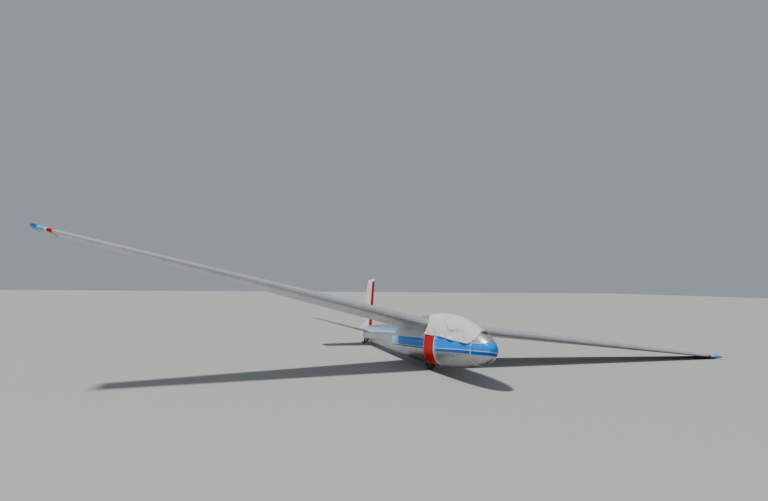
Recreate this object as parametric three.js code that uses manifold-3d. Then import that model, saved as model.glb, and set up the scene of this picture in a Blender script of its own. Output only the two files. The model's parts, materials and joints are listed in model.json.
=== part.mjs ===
// Sailplane glider: an all-metal two-seat trainer with a forward-swept shoulder wing, parked on
// its wheel, tail skid and port wing tip, with a cloth cover strapped over its canopy.
// Millimetres. Airframe axes: +X to the nose, +Y to port, +Z up from the level of the nose tip.
// "Aft" is the distance behind the nose tip, so x = -aft.

import * as THREE from "three";
import { mergeVertices } from "three/addons/utils/BufferGeometryUtils.js";
import Module from "manifold-3d";

const wasm = await Module();
wasm.setup();

// Driving dimensions
const halfSpan = 8100;
const seatGap = 0.3; // between pieces that touch
const wallThickness = 20; // cockpit tub and canopy frame
const farAway = 3000; // cutters reach this far past what they cut
const tall = 900; // past the fuselage's height, for cutters seen from the side
const wide = 500; // past the fuselage's half width
const deep = 300; // past a wing's thickness

// Fuselage outline: aft, half width, top, bottom, height of the widest line
const fuselageTable = [
  [0, 26, 8, -52, -20],
  [14, 66, 48, -92, -20],
  [50, 112, 95, -142, -20],
  [110, 154, 150, -190, -18],
  [250, 210, 236, -262, -10],
  [500, 258, 338, -330, 0],
  [800, 286, 448, -378, 0],
  [1200, 303, 566, -415, 0],
  [1700, 309, 650, -440, 0],
  [2300, 309, 684, -445, 0],
  [3000, 304, 658, -430, 20],
  [4200, 268, 540, -342, 60],
  [6000, 175, 428, -202, 110],
  [7600, 88, 358, -56, 150],
  [7850, 60, 346, -30, 155],
];
const ringPoints = 24;
const roundness = { across: 0.92, up: 0.96 }; // powers of cosine and sine round a ring
const noseJoint = 358;
const frontJoint = 2400;
const rearJoint = 4300;
const bulkhead = 20;
const sternEnd = 7830;

// Canopy: its edge in side view, its bows and its starboard hinge
const canopyFront = { aft: 620, height: 104 };
const canopyFrontLean = -0.16; // aft per height along the windscreen foot
const canopyRear = { aft: 2360, height: 200 };
const canopyEndGap = 6;
const bowWidth = 40;
const bows = [1250, 1820];
const railHeight = 48;
const glass = { outer: -6, inner: -12 };
const canopyHinge = { front: 900, rear: 2300, across: -318 };

// Cloth cover and its straps
const cover = { inner: 0.3, outer: 6 };
const hemFront = { aft: 415, height: 60 };
const hemRear = { aft: 2440, height: 172 };
const coverFrontLean = 0.2; // aft per height along the front edge
const coverRoof = { foot: 437, aft: 2740, height: 700 }; // where the rear edge slopes back over the wing
const coverSplit = { above: 30, below: -12, ends: 6 };
const straps = { frontAft: 415, rearAft: 1825, width: 40, thickness: 3 };

// Wing: aft and height of the leading edge at the centreline, chords, sweep and dihedral
const wing = {
  leadingEdge: 2496,
  height: 420,
  rootChord: 1720,
  tipChord: 640,
  quarterSweep: 4.8,
  dihedral: 3.17,
  rootTwist: 4,
  tipTwist: 1,
  rootThickness: 0.15,
  tipThickness: 0.12,
  camber: 0.033,
  end: 8050,
};
const aileron = { inner: 4560, outer: 7760, hinge: 0.75, brackets: [0.2, 0.8] };
const flap = {
  inner: 460,
  outer: 4420,
  nose: 0.71,
  slant: 0.55,
  noseGap: 8,
  trackRadius: 600,
  pins: [45, 105],
  meanSlope: 0.095,
  travelDegrees: 10,
};
const flapPin = { radius: 6, reach: 10, root: 8 };
const trackEnd = 0.02; // radians past the pins at each end of a track
const airbrake = { inner: 2900, outer: 4100, upperAt: 0.42, lowerAt: 0.5, thickness: 14, depth: 55 };
const tipBody = { length: 780, radius: 50, nose: 90, drop: 6 };

// Tail
const tailplane = {
  leadingEdge: 7160,
  height: 185,
  rootChord: 930,
  tipChord: 580,
  rootThickness: 0.11,
  tipThickness: 0.1,
  sweepBack: 200,
  rise: 135,
  half: 1750,
};
const elevator = { inner: 0.115, hinge: [0.56, 0.552], brackets: [0.12, 0.78] };
const rudderClearWidth = 190;
const rudderClearAft = 7760;
const fin = {
  base: -20,
  top: 1850,
  baseLeadingEdge: 7179,
  topLeadingEdge: 7700,
  baseChord: 1221,
  topChord: 640,
  baseThickness: 0.1,
  topThickness: 0.095,
  foot: 300,
  hornBottom: 1650,
};
const rudderHinge = 7860;
const rudderHeel = { front: 7900, frontHeight: -22, rear: 8440, rearHeight: 76 };
const hornGap = 10;
const surfaceGap = 6; // round the nose of a hinged surface
const endGap = 8; // at the ends of a hinged surface
const bracket = { thickness: 5, eye: 9, pin: 4, pinEnd: 6, sideGap: 5.5, backGap: 7, root: 25 };
const tipRound = 22;

// Landing gear
const wheel = { aft: 2620, height: -387, radius: 175, width: 135, rim: 78, axle: 15 };
const wheelWell = { front: 2428, rear: 2812, half: 108, roof: -160 };
const hubWeb = { inner: 42, outer: 58, half: 20, bossRadius: 34, bossHalf: 42, flangeHalf: 46 };
const fork = { inside: 79, plate: 8, width: 70, bridge: 22, heelHalf: 18, heelDrop: 34, axleEnd: 8 };
const skid = { half: 32, front: 7390, top: -40, root: -96, heel: 7880, bottom: -195 };
const skidBuffer = { aft: 7730, radius: 26 };

// Nose fittings
const scoop = { aft: 400, length: 62, half: 60, height: 34, wall: 5, mouth: 12, tiltDegrees: 22 };
const hook = { aft: 170, half: 6, length: 70, drop: 34, lip: 14 };

// Cockpit
const seats = [
  { name: "front", panAft: 1050, panelAft: 790, stickAft: 950, pedalAft: 640, seatHalf: 190 },
  { name: "rear", panAft: 1800, panelAft: 1626, stickAft: 1722, pedalAft: 1680, seatHalf: 195 },
];
const seat = { pan: 330, panHeight: -262, panDrop: 26, backRise: 400, backLean: 150, shell: 26, pad: 42 };
const padInset = { front: 8, back: 14, top: 30, side: 15 };
const panelBoard = { thickness: 14, low: -40, shoulder: 60, step: 70, high: 235, half: 170 };
const stick = {
  foot: -430,
  length: 380,
  radius: 11,
  grip: 270,
  gripRadius: 17,
  gripTop: 14,
  boot: 70,
  bootRadius: 34,
};
const pedal = { height: -270, radius: 9, across: 95, half: 38, thickness: 10, low: -20, high: 110 };

const radians = THREE.MathUtils.degToRad;
const forward = new THREE.Vector3(1, 0, 0);

// Solids

function solidFrom(geometry) {
  const bare = geometry.clone();
  bare.deleteAttribute("normal");
  bare.deleteAttribute("uv");
  const merged = mergeVertices(bare, 1e-3);
  const vertProperties = new Float32Array(merged.attributes.position.array);
  const triVerts = new Uint32Array(merged.index.array);
  return new wasm.Manifold(new wasm.Mesh({ numProp: 3, vertProperties, triVerts }));
}

function geometryFrom(solid) {
  const { vertProperties, triVerts } = solid.getMesh();
  const geometry = new THREE.BufferGeometry();
  geometry.setAttribute("position", new THREE.BufferAttribute(new Float32Array(vertProperties), 3));
  geometry.setIndex(new THREE.BufferAttribute(new Uint32Array(triVerts), 1));
  return geometry;
}

function joined(...solids) {
  return solids.reduce((whole, next) => whole.add(next));
}

// A closed loft through rings of equal point counts; each end is closed by a ladder of triangles.
function loft(rings) {
  const count = rings[0].length;
  const points = rings.flat();
  const faces = [];
  for (let row = 0; row < rings.length - 1; row += 1) {
    for (let k = 0; k < count; k += 1) {
      const a = row * count + k;
      const b = row * count + ((k + 1) % count);
      faces.push(a, b, b + count, a, b + count, a + count);
    }
  }
  const last = (rings.length - 1) * count;
  for (let low = 0, high = count - 1; high - low > 1; low += 1, high -= 1) {
    faces.push(low + 1, low, high, last + low, last + low + 1, last + high);
    if (high - low > 2) {
      faces.push(high - 1, low + 1, high, last + low + 1, last + high - 1, last + high);
    }
  }
  const cross = new THREE.Vector3();
  let volume = 0;
  for (let k = 0; k < faces.length; k += 3) {
    volume += cross.crossVectors(points[faces[k]], points[faces[k + 1]]).dot(points[faces[k + 2]]);
  }
  const geometry = new THREE.BufferGeometry().setFromPoints(points);
  geometry.setIndex(volume < 0 ? faces.reverse() : faces);
  return solidFrom(geometry);
}

// A straight prism: an outline in X and Z carried along Y, placed by a frame.
function prism(outline, fromY, toY, frame = new THREE.Matrix4()) {
  const shape = new THREE.Shape(outline.map(([x, z]) => new THREE.Vector2(x, z)));
  const geometry = new THREE.ExtrudeGeometry(shape, { depth: toY - fromY, bevelEnabled: false });
  return solidFrom(geometry.rotateX(Math.PI / 2).translate(0, toY, 0).applyMatrix4(frame));
}

// The same prism, its outline given as aft and height
function sideProfile(outline, halfWidth, centre = 0) {
  return prism(outline.map(([aft, height]) => [-aft, height]), centre - halfWidth, centre + halfWidth);
}

function block(low, high, frame = new THREE.Matrix4()) {
  const size = new THREE.Vector3().subVectors(high, low);
  const middle = new THREE.Vector3().addVectors(high, low).multiplyScalar(0.5);
  const geometry = new THREE.BoxGeometry(size.x, size.y, size.z).translate(middle.x, middle.y, middle.z);
  return solidFrom(geometry.applyMatrix4(frame));
}

// A round bar or cone along the frame's Y axis
function bar(startRadius, endRadius, fromY, toY, frame = new THREE.Matrix4(), segments = 10) {
  const geometry = new THREE.CylinderGeometry(endRadius, startRadius, toY - fromY, segments);
  return solidFrom(geometry.translate(0, (fromY + toY) / 2, 0).applyMatrix4(frame));
}

// A frame at the first point: Y runs to the second point, X points forward.
function frameAlong(start, end) {
  const along = new THREE.Vector3().subVectors(end, start).normalize();
  const ahead = forward.clone().addScaledVector(along, -forward.dot(along)).normalize();
  const up = new THREE.Vector3().crossVectors(ahead, along);
  return new THREE.Matrix4().makeBasis(ahead, along, up).setPosition(start);
}

// Fuselage

function fuselageAt(aft) {
  let row = 1;
  while (row < fuselageTable.length - 1 && fuselageTable[row][0] < aft) {
    row += 1;
  }
  const before = fuselageTable[row - 1];
  const after = fuselageTable[row];
  const share = (aft - before[0]) / (after[0] - before[0]);
  return before.map((value, column) => value + share * (after[column] - value));
}

// One cross-section, grown outwards by a given amount: two half ovals on the widest line
function fuselageRing(aft, grow) {
  const [, halfWidth, top, bottom, waist] = fuselageAt(aft);
  const ring = [];
  for (let k = 0; k < ringPoints; k += 1) {
    const angle = ((k + 0.5) * 2 * Math.PI) / ringPoints;
    const rise = Math.sin(angle) > 0 ? top + grow - waist : waist - bottom + grow;
    const across = Math.sign(Math.cos(angle)) * Math.abs(Math.cos(angle)) ** roundness.across;
    const up = Math.sign(Math.sin(angle)) * Math.abs(Math.sin(angle)) ** roundness.up;
    ring.push(new THREE.Vector3(-aft, (halfWidth + grow) * across, waist + rise * up));
  }
  return ring;
}

function fuselageSolid(from, to, grow = 0) {
  const stations = fuselageTable.map(([aft]) => aft);
  const first = stations.findLastIndex((aft) => aft <= from);
  const last = stations.findIndex((aft) => aft >= to);
  const slab = block(new THREE.Vector3(-to, -farAway, -farAway), new THREE.Vector3(-from, farAway, farAway));
  return loft(stations.slice(first, last + 1).map((aft) => fuselageRing(aft, grow))).intersect(slab);
}

const cockpitSpace = fuselageSolid(noseJoint + bulkhead, frontJoint - bulkhead, -wallThickness);
const fitInCockpit = fuselageSolid(noseJoint + bulkhead, frontJoint - bulkhead, -wallThickness - seatGap);
const wholeFuselage = fuselageSolid(0, fuselageTable.at(-1)[0], seatGap);

function sillHeight(aft) {
  const share = (aft - canopyFront.aft) / (canopyRear.aft - canopyFront.aft);
  return canopyFront.height + share * (canopyRear.height - canopyFront.height);
}

// Everything above the sill between two slanted or upright ends, as seen from the side
function aboveSill(from, to, lift, frontLean) {
  const foot = sillHeight(from) + lift;
  return sideProfile(
    [
      [from, foot],
      [to, sillHeight(to) + lift],
      [to, foot + tall],
      [from + frontLean * tall, foot + tall],
    ],
    wide,
  );
}

// Wings and tail surfaces: a straight-tapered panel between a root and a tip section

// Half thickness of a four-digit section, as a share of the chord
function halfThickness(u, thickness) {
  const shape = 0.2969 * Math.sqrt(u) - 0.126 * u - 0.3516 * u ** 2 + 0.2843 * u ** 3 - 0.1036 * u ** 4;
  return 5 * thickness * shape;
}

// A point of one end section: u runs along the chord, level from -1, lower skin, to 1, upper skin.
function sectionPoint(section, u, level, grow) {
  const { lead, chord, thickness, camber, twist, upright } = section;
  const trailingEdge = 2; // half the thickness of the trailing edge
  const half = Math.max(chord * halfThickness(u, thickness), trailingEdge) + grow;
  const mean = chord * camber * 4 * u * (1 - u);
  const along = u * chord + grow * (2 * u - 1);
  const off = mean + level * half;
  const aft = along * Math.cos(twist) + off * Math.sin(twist);
  const rise = off * Math.cos(twist) - along * Math.sin(twist);
  const offset = upright ? new THREE.Vector3(-aft, rise, 0) : new THREE.Vector3(-aft, 0, rise);
  return offset.add(lead);
}

function panelPoint(panel, share, u, level, grow = 0) {
  return sectionPoint(panel.root, u, level, grow).lerp(sectionPoint(panel.tip, u, level, grow), share);
}

function panelRing(panel, share, grow) {
  const steps = 9;
  const ring = [];
  for (let k = 0; k <= steps; k += 1) {
    ring.push(panelPoint(panel, share, (1 + Math.cos((Math.PI * k) / steps)) / 2, 1, grow));
  }
  for (let k = steps - 1; k >= 0; k -= 1) {
    ring.push(panelPoint(panel, share, (1 + Math.cos((Math.PI * k) / steps)) / 2, -1, grow));
  }
  return ring;
}

// The whole panel; a rounded tip adds one smaller section past the end.
function panelSolid(panel, from, to, { grow = 0, rounded = 0 } = {}) {
  const rings = [panelRing(panel, from, grow), panelRing(panel, to, grow)];
  if (rounded > 0) {
    const centre = panelPoint(panel, to, 0.5, 0);
    const out = new THREE.Vector3().subVectors(panel.tip.lead, panel.root.lead).setX(0).setLength(rounded);
    rings.push(rings[1].map((point) => point.clone().sub(centre).multiplyScalar(0.8).add(centre).add(out)));
  }
  return loft(rings);
}

function wingPanel(side) {
  const quarter = wing.leadingEdge + wing.rootChord / 4;
  const forwardSweep = halfSpan * Math.tan(radians(wing.quarterSweep));
  const rise = halfSpan * Math.tan(radians(wing.dihedral));
  const end = (share, chord, thickness, twist) => ({
    lead: new THREE.Vector3(
      share * forwardSweep + chord / 4 - quarter,
      side * share * halfSpan,
      wing.height + share * rise,
    ),
    chord,
    thickness,
    camber: wing.camber,
    twist: radians(twist),
    upright: false,
  });
  return {
    root: end(0, wing.rootChord, wing.rootThickness, wing.rootTwist),
    tip: end(1, wing.tipChord, wing.tipThickness, wing.tipTwist),
  };
}

function tailPanel(side) {
  const end = (share, chord, thickness) => ({
    lead: new THREE.Vector3(
      -(tailplane.leadingEdge + share * tailplane.sweepBack),
      side * share * tailplane.half,
      tailplane.height + share * tailplane.rise,
    ),
    chord,
    thickness,
    camber: 0,
    twist: 0,
    upright: false,
  });
  return {
    root: end(0, tailplane.rootChord, tailplane.rootThickness),
    tip: end(1, tailplane.tipChord, tailplane.tipThickness),
  };
}

function finPanel() {
  const end = (height, leadingEdge, chord, thickness) => ({
    lead: new THREE.Vector3(-leadingEdge, 0, height),
    chord,
    thickness,
    camber: 0,
    twist: 0,
    upright: true,
  });
  return {
    root: end(fin.base, fin.baseLeadingEdge, fin.baseChord, fin.baseThickness),
    tip: end(fin.top, fin.topLeadingEdge, fin.topChord, fin.topThickness),
  };
}

// A surface that turns about a line inside the panel: what lies behind the line, with a round nose.
// An open end runs past the panel's tip; elsewhere it stops short of an end gap.
function hingedSurface(panel, solid, { from, to, hinge, noseTo = 1, openEnd = false }) {
  const { lerp } = THREE.MathUtils;
  const place = (share, level) => panelPoint(panel, share, lerp(hinge[0], hinge[1], share), level);
  const radiusAtShare = (share) => place(share, 1).distanceTo(place(share, -1)) / 2 - 0.5;
  const shares = place(from, 0).y > place(to, 0).y ? [to, from] : [from, to];
  const [start, end] = shares.map((share) => place(share, 0));
  const [startRadius, endRadius] = shares.map(radiusAtShare);
  const frame = frameAlong(start, end);
  const length = start.distanceTo(end);
  const noseLength = length * noseTo;
  const noseEnd = lerp(startRadius, endRadius, noseTo);
  const pastTip = 200;
  const open = [openEnd && shares[0] > shares[1], openEnd && shares[0] < shares[1]];
  const kept = open.map((isOpen) => (isOpen ? pastTip : 0));
  const cleared = open.map((isOpen) => (isOpen ? pastTip : endGap));
  const behind = (ends) =>
    block(new THREE.Vector3(-tall, -ends[0], -deep), new THREE.Vector3(0, length + ends[1], deep), frame);
  const nose = bar(startRadius, noseEnd, 0, noseLength, frame, 16);
  const [gapStart, gapEnd] = [startRadius + surfaceGap, noseEnd + surfaceGap];
  const noseGap = bar(gapStart, gapEnd, -cleared[0], noseLength + cleared[1], frame, 16);
  return {
    frame,
    length,
    radiusAt: (share) => lerp(startRadius, endRadius, share),
    moving: joined(solid.intersect(behind(kept)), nose),
    space: joined(behind(cleared), noseGap),
  };
}

// Hinge brackets: an eye plate on the fixed part in a slot of the moving part, round its pin.
function addBrackets(surface, fixed, shares) {
  const { frame, length } = surface;
  for (const share of shares) {
    const at = share * length;
    const radius = surface.radiusAt(share);
    const root = radius + surfaceGap + bracket.root;
    const half = bracket.thickness / 2;
    const slotHalf = half + bracket.sideGap;
    const slot = block(
      new THREE.Vector3(-bracket.eye - bracket.backGap, at - slotHalf, -deep),
      new THREE.Vector3(radius + surfaceGap, at + slotHalf, deep),
      frame,
    );
    const arm = block(
      new THREE.Vector3(0, at - half, -bracket.eye),
      new THREE.Vector3(root, at + half, bracket.eye),
      frame,
    );
    const eye = bar(bracket.eye, bracket.eye, at - half, at + half, frame);
    const hole = bar(bracket.pin + seatGap, bracket.pin + seatGap, at - slotHalf, at + slotHalf, frame);
    const reach = slotHalf + bracket.pinEnd;
    const pin = bar(bracket.pin, bracket.pin, at - reach, at + reach, frame);
    surface.moving = surface.moving.subtract(slot).add(pin);
    fixed = fixed.add(joined(arm, eye).subtract(hole));
  }
  return fixed;
}

// Finishes and the scene

function finish(colour, roughness, metalness) {
  return new THREE.MeshStandardMaterial({ color: colour, roughness, metalness });
}

const bareMetal = finish("#c3c5c9", 0.35, 0.85);
const whitePaint = finish("#e6e6e4", 0.4, 0.1);
const bluePaint = finish("#2f8fe0", 0.4, 0.1);
const clear = finish("#cfe0e6", 0.08, 0);
const coverCloth = finish("#c9c9c4", 0.9, 0);
const strapCloth = finish("#d8dcd6", 0.85, 0);
const tyreRubber = finish("#1d1d1f", 0.85, 0);
const darkSteel = finish("#55585c", 0.45, 0.8);
const darkTrim = finish("#26282b", 0.6, 0.1);
const seatLeather = finish("#5a4634", 0.7, 0);

const airframe = new THREE.Group();
airframe.name = "airframe";

// A turning or sliding part hangs in a group of its own, set on its axis by a frame.
function pivot(name, frame) {
  const group = new THREE.Group();
  group.name = name;
  group.applyMatrix4(frame);
  group.updateMatrix();
  airframe.add(group);
  return group;
}

function addPiece(name, solid, material, parent = airframe) {
  const geometry = geometryFrom(solid);
  if (parent !== airframe) {
    geometry.applyMatrix4(parent.matrix.clone().invert());
  }
  const mesh = new THREE.Mesh(geometry, material);
  mesh.name = name;
  parent.add(mesh);
  return mesh;
}

// Fuselage shells, wheel well and cockpit tub

function buildFuselage(rudderSpace) {
  const from = canopyFront.aft - canopyEndGap;
  const canopySpace = aboveSill(from, canopyRear.aft + canopyEndGap, -seatGap, canopyFrontLean);
  const tub = fuselageSolid(noseJoint + seatGap, frontJoint).subtract(cockpitSpace).subtract(canopySpace);
  const well = block(
    new THREE.Vector3(-wheelWell.rear, -wheelWell.half, -tall),
    new THREE.Vector3(-wheelWell.front, wheelWell.half, wheelWell.roof),
  );
  addPiece("nose_cap", fuselageSolid(0, noseJoint), bareMetal);
  addPiece("fuselage_front", tub, bluePaint);
  addPiece("fuselage_centre", fuselageSolid(frontJoint + seatGap, rearJoint).subtract(well), bareMetal);
  addPiece("tail_cone", fuselageSolid(rearJoint + seatGap, sternEnd).subtract(rudderSpace), bareMetal);
}

// Air scoop, a hood open to the front on top of the nose, and the tow hook under it

function buildNoseFittings() {
  const place = new THREE.Matrix4()
    .makeRotationY(radians(scoop.tiltDegrees))
    .setPosition(-scoop.aft, 0, fuselageAt(scoop.aft)[2]);
  const dome = (inset) =>
    solidFrom(
      new THREE.SphereGeometry(1, 16, 12)
        .scale(scoop.length - inset, scoop.half - inset, scoop.height - inset)
        .applyMatrix4(place),
    );
  const mouthCorner = new THREE.Vector3(scoop.mouth, -wide, -wide);
  const ahead = block(mouthCorner, new THREE.Vector3(wide, wide, wide), place);
  const hood = dome(0).subtract(dome(scoop.wall)).subtract(ahead).subtract(wholeFuselage);
  addPiece("air_scoop", hood, bareMetal);

  const low = fuselageAt(hook.aft)[3];
  const tip = low - hook.drop;
  const plate = sideProfile(
    [
      [hook.aft, low + 60],
      [hook.aft, tip + hook.lip],
      [hook.aft + 18, tip],
      [hook.aft + 40, tip],
      [hook.aft + 40, tip + hook.lip],
      [hook.aft + 26, tip + hook.lip],
      [hook.aft + hook.length, low + 20],
    ],
    hook.half,
  );
  addPiece("tow_hook", plate.subtract(wholeFuselage), darkSteel);
}

// Canopy frame with three wrap-over windows, hinged on the starboard sill

function buildCanopy() {
  const start = new THREE.Vector3(-canopyHinge.rear, canopyHinge.across, sillHeight(canopyHinge.rear));
  const end = new THREE.Vector3(-canopyHinge.front, canopyHinge.across, sillHeight(canopyHinge.front));
  const axis = new THREE.Vector3().subVectors(end, start).normalize();
  const turn = new THREE.Quaternion().setFromUnitVectors(forward, axis);
  const frame = new THREE.Matrix4().makeRotationFromQuaternion(turn).setPosition(start);
  const group = pivot("canopy_hinge", frame);

  const from = noseJoint + bulkhead;
  const to = frontJoint;
  const shell = fuselageSolid(from, to).subtract(fuselageSolid(from - 5, to + 5, -wallThickness));
  const pane = fuselageSolid(from, to, glass.outer).subtract(fuselageSolid(from - 5, to + 5, glass.inner));
  let frameSolid = shell.intersect(aboveSill(canopyFront.aft, canopyRear.aft, 0, canopyFrontLean));
  const bowEdges = bows.flatMap((bow) => [bow, bow + bowWidth]);
  const edges = [canopyFront.aft + bowWidth, ...bowEdges, canopyRear.aft - bowWidth];
  ["front", "middle", "rear"].forEach((name, k) => {
    const lean = k === 0 ? canopyFrontLean : 0;
    const [fore, back] = [edges[2 * k], edges[2 * k + 1]];
    const window = aboveSill(fore, back, railHeight, lean);
    const fitted = aboveSill(fore + seatGap, back - seatGap, railHeight + seatGap, lean);
    frameSolid = frameSolid.subtract(window);
    addPiece(`glass_${name}`, pane.intersect(fitted), clear, group);
  });
  addPiece("canopy_frame", frameSolid, whitePaint, group);
  return group;
}

// Cloth cover: the part that lifts with the canopy, and the edges that lie on the fuselage

function buildCover(canopyGroup) {
  const from = hemFront.aft;
  const to = coverRoof.aft;
  const shell = fuselageSolid(from, to, cover.outer).subtract(fuselageSolid(from - 5, to + 5, cover.inner));
  const outline = sideProfile(
    [
      [hemFront.aft, hemFront.height],
      [hemRear.aft, hemRear.height],
      [hemRear.aft, coverRoof.foot],
      [coverRoof.aft, coverRoof.height],
      [coverRoof.aft, tall],
      [hemFront.aft + coverFrontLean * (tall - hemFront.height), tall],
    ],
    wide,
  );
  const cloth = shell.intersect(outline);
  const { above, below, ends } = coverSplit;
  const portSkirt = (margin) =>
    block(
      new THREE.Vector3(-canopyRear.aft - margin, -margin, -tall),
      new THREE.Vector3(-canopyFront.aft + margin, wide, canopyRear.height + above),
    );
  const lifted = joined(aboveSill(canopyFront.aft, canopyRear.aft, above, canopyFrontLean), portSkirt(0));
  const cleared = joined(
    aboveSill(canopyFront.aft - ends, canopyRear.aft + ends, below, canopyFrontLean),
    portSkirt(ends),
  );
  addPiece("cover_main", cloth.intersect(lifted), coverCloth, canopyGroup);
  addPiece("cover_skirt", cloth.subtract(cleared), coverCloth);

  const band = fuselageSolid(from, to, straps.thickness).subtract(fuselageSolid(from - 5, to + 5, seatGap));
  const slope = (hemRear.height - hemFront.height) / (hemRear.aft - hemFront.aft);
  const hem = (aft) => hemFront.height + slope * (aft - hemFront.aft) - seatGap;
  for (const [name, aft] of [["strap_front", straps.frontAft], ["strap_rear", straps.rearAft]]) {
    const end = aft + straps.width;
    const underHem = sideProfile([[aft, -tall], [end, -tall], [end, hem(end)], [aft, hem(aft)]], wide);
    addPiece(name, band.intersect(underHem), strapCloth);
  }
}

// Cockpit: seats with pads, instrument panels, sticks and pedals

function buildSeat(place) {
  const panEnd = place.panAft + seat.pan;
  const backAft = panEnd + seat.backLean;
  const panBack = seat.panHeight - seat.panDrop;
  const backTop = panBack + seat.backRise;
  const shell = sideProfile(
    [
      [place.panAft, -tall],
      [place.panAft, seat.panHeight],
      [panEnd, panBack],
      [backAft, backTop],
      [backAft + seat.shell, backTop],
      [panEnd + seat.shell, -tall],
    ],
    place.seatHalf,
  );
  addPiece(`seat_${place.name}`, shell.intersect(fitInCockpit), darkSteel);

  const padTop = backTop - padInset.top;
  const pad = sideProfile(
    [
      [place.panAft + padInset.front, seat.panHeight + seatGap],
      [panEnd - seatGap, panBack + seatGap],
      [backAft - padInset.back, padTop],
      [backAft - padInset.back - seat.pad, padTop],
      [panEnd - seat.pad - padInset.front, panBack + seat.pad],
      [place.panAft + padInset.front, seat.panHeight + seat.pad],
    ],
    place.seatHalf - padInset.side,
  );
  addPiece(`cushion_${place.name}`, pad.intersect(fitInCockpit), seatLeather);
}

// A board that fills the tub below and is narrower above the sill
function buildPanel(place) {
  const rear = place.panelAft + panelBoard.thickness;
  const board = (low, high) => [[place.panelAft, low], [rear, low], [rear, high], [place.panelAft, high]];
  const lower = sideProfile(board(panelBoard.low, panelBoard.step), wide).intersect(fitInCockpit);
  const upper = sideProfile(board(panelBoard.shoulder, panelBoard.high), panelBoard.half);
  addPiece(`panel_${place.name}`, joined(lower, upper), darkTrim);
}

function buildControls(place) {
  const upright = new THREE.Matrix4().makeRotationX(Math.PI / 2).setPosition(-place.stickAft, 0, stick.foot);
  const column = joined(
    bar(stick.radius, stick.radius, 0, stick.length - 20, upright),
    bar(stick.gripRadius, stick.gripTop, stick.grip, stick.length, upright),
    bar(stick.bootRadius, stick.gripTop, 0, stick.boot, upright, 12),
  );
  addPiece(`stick_${place.name}`, column.intersect(fitInCockpit), darkTrim);

  const crossBar = new THREE.Matrix4().setPosition(-place.pedalAft, 0, pedal.height);
  const plates = [-pedal.across, pedal.across].map((across) =>
    block(
      new THREE.Vector3(-pedal.thickness / 2, across - pedal.half, pedal.low),
      new THREE.Vector3(pedal.thickness / 2, across + pedal.half, pedal.high),
      crossBar,
    ),
  );
  const pedals = joined(bar(pedal.radius, pedal.radius, -wide, wide, crossBar), ...plates);
  addPiece(`pedals_${place.name}`, pedals.intersect(fitInCockpit), darkSteel);
}

function buildCockpit() {
  for (const place of seats) {
    buildSeat(place);
    buildPanel(place);
    buildControls(place);
  }
}

// One wing with its aileron, flap, airbrakes and tip body

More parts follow.
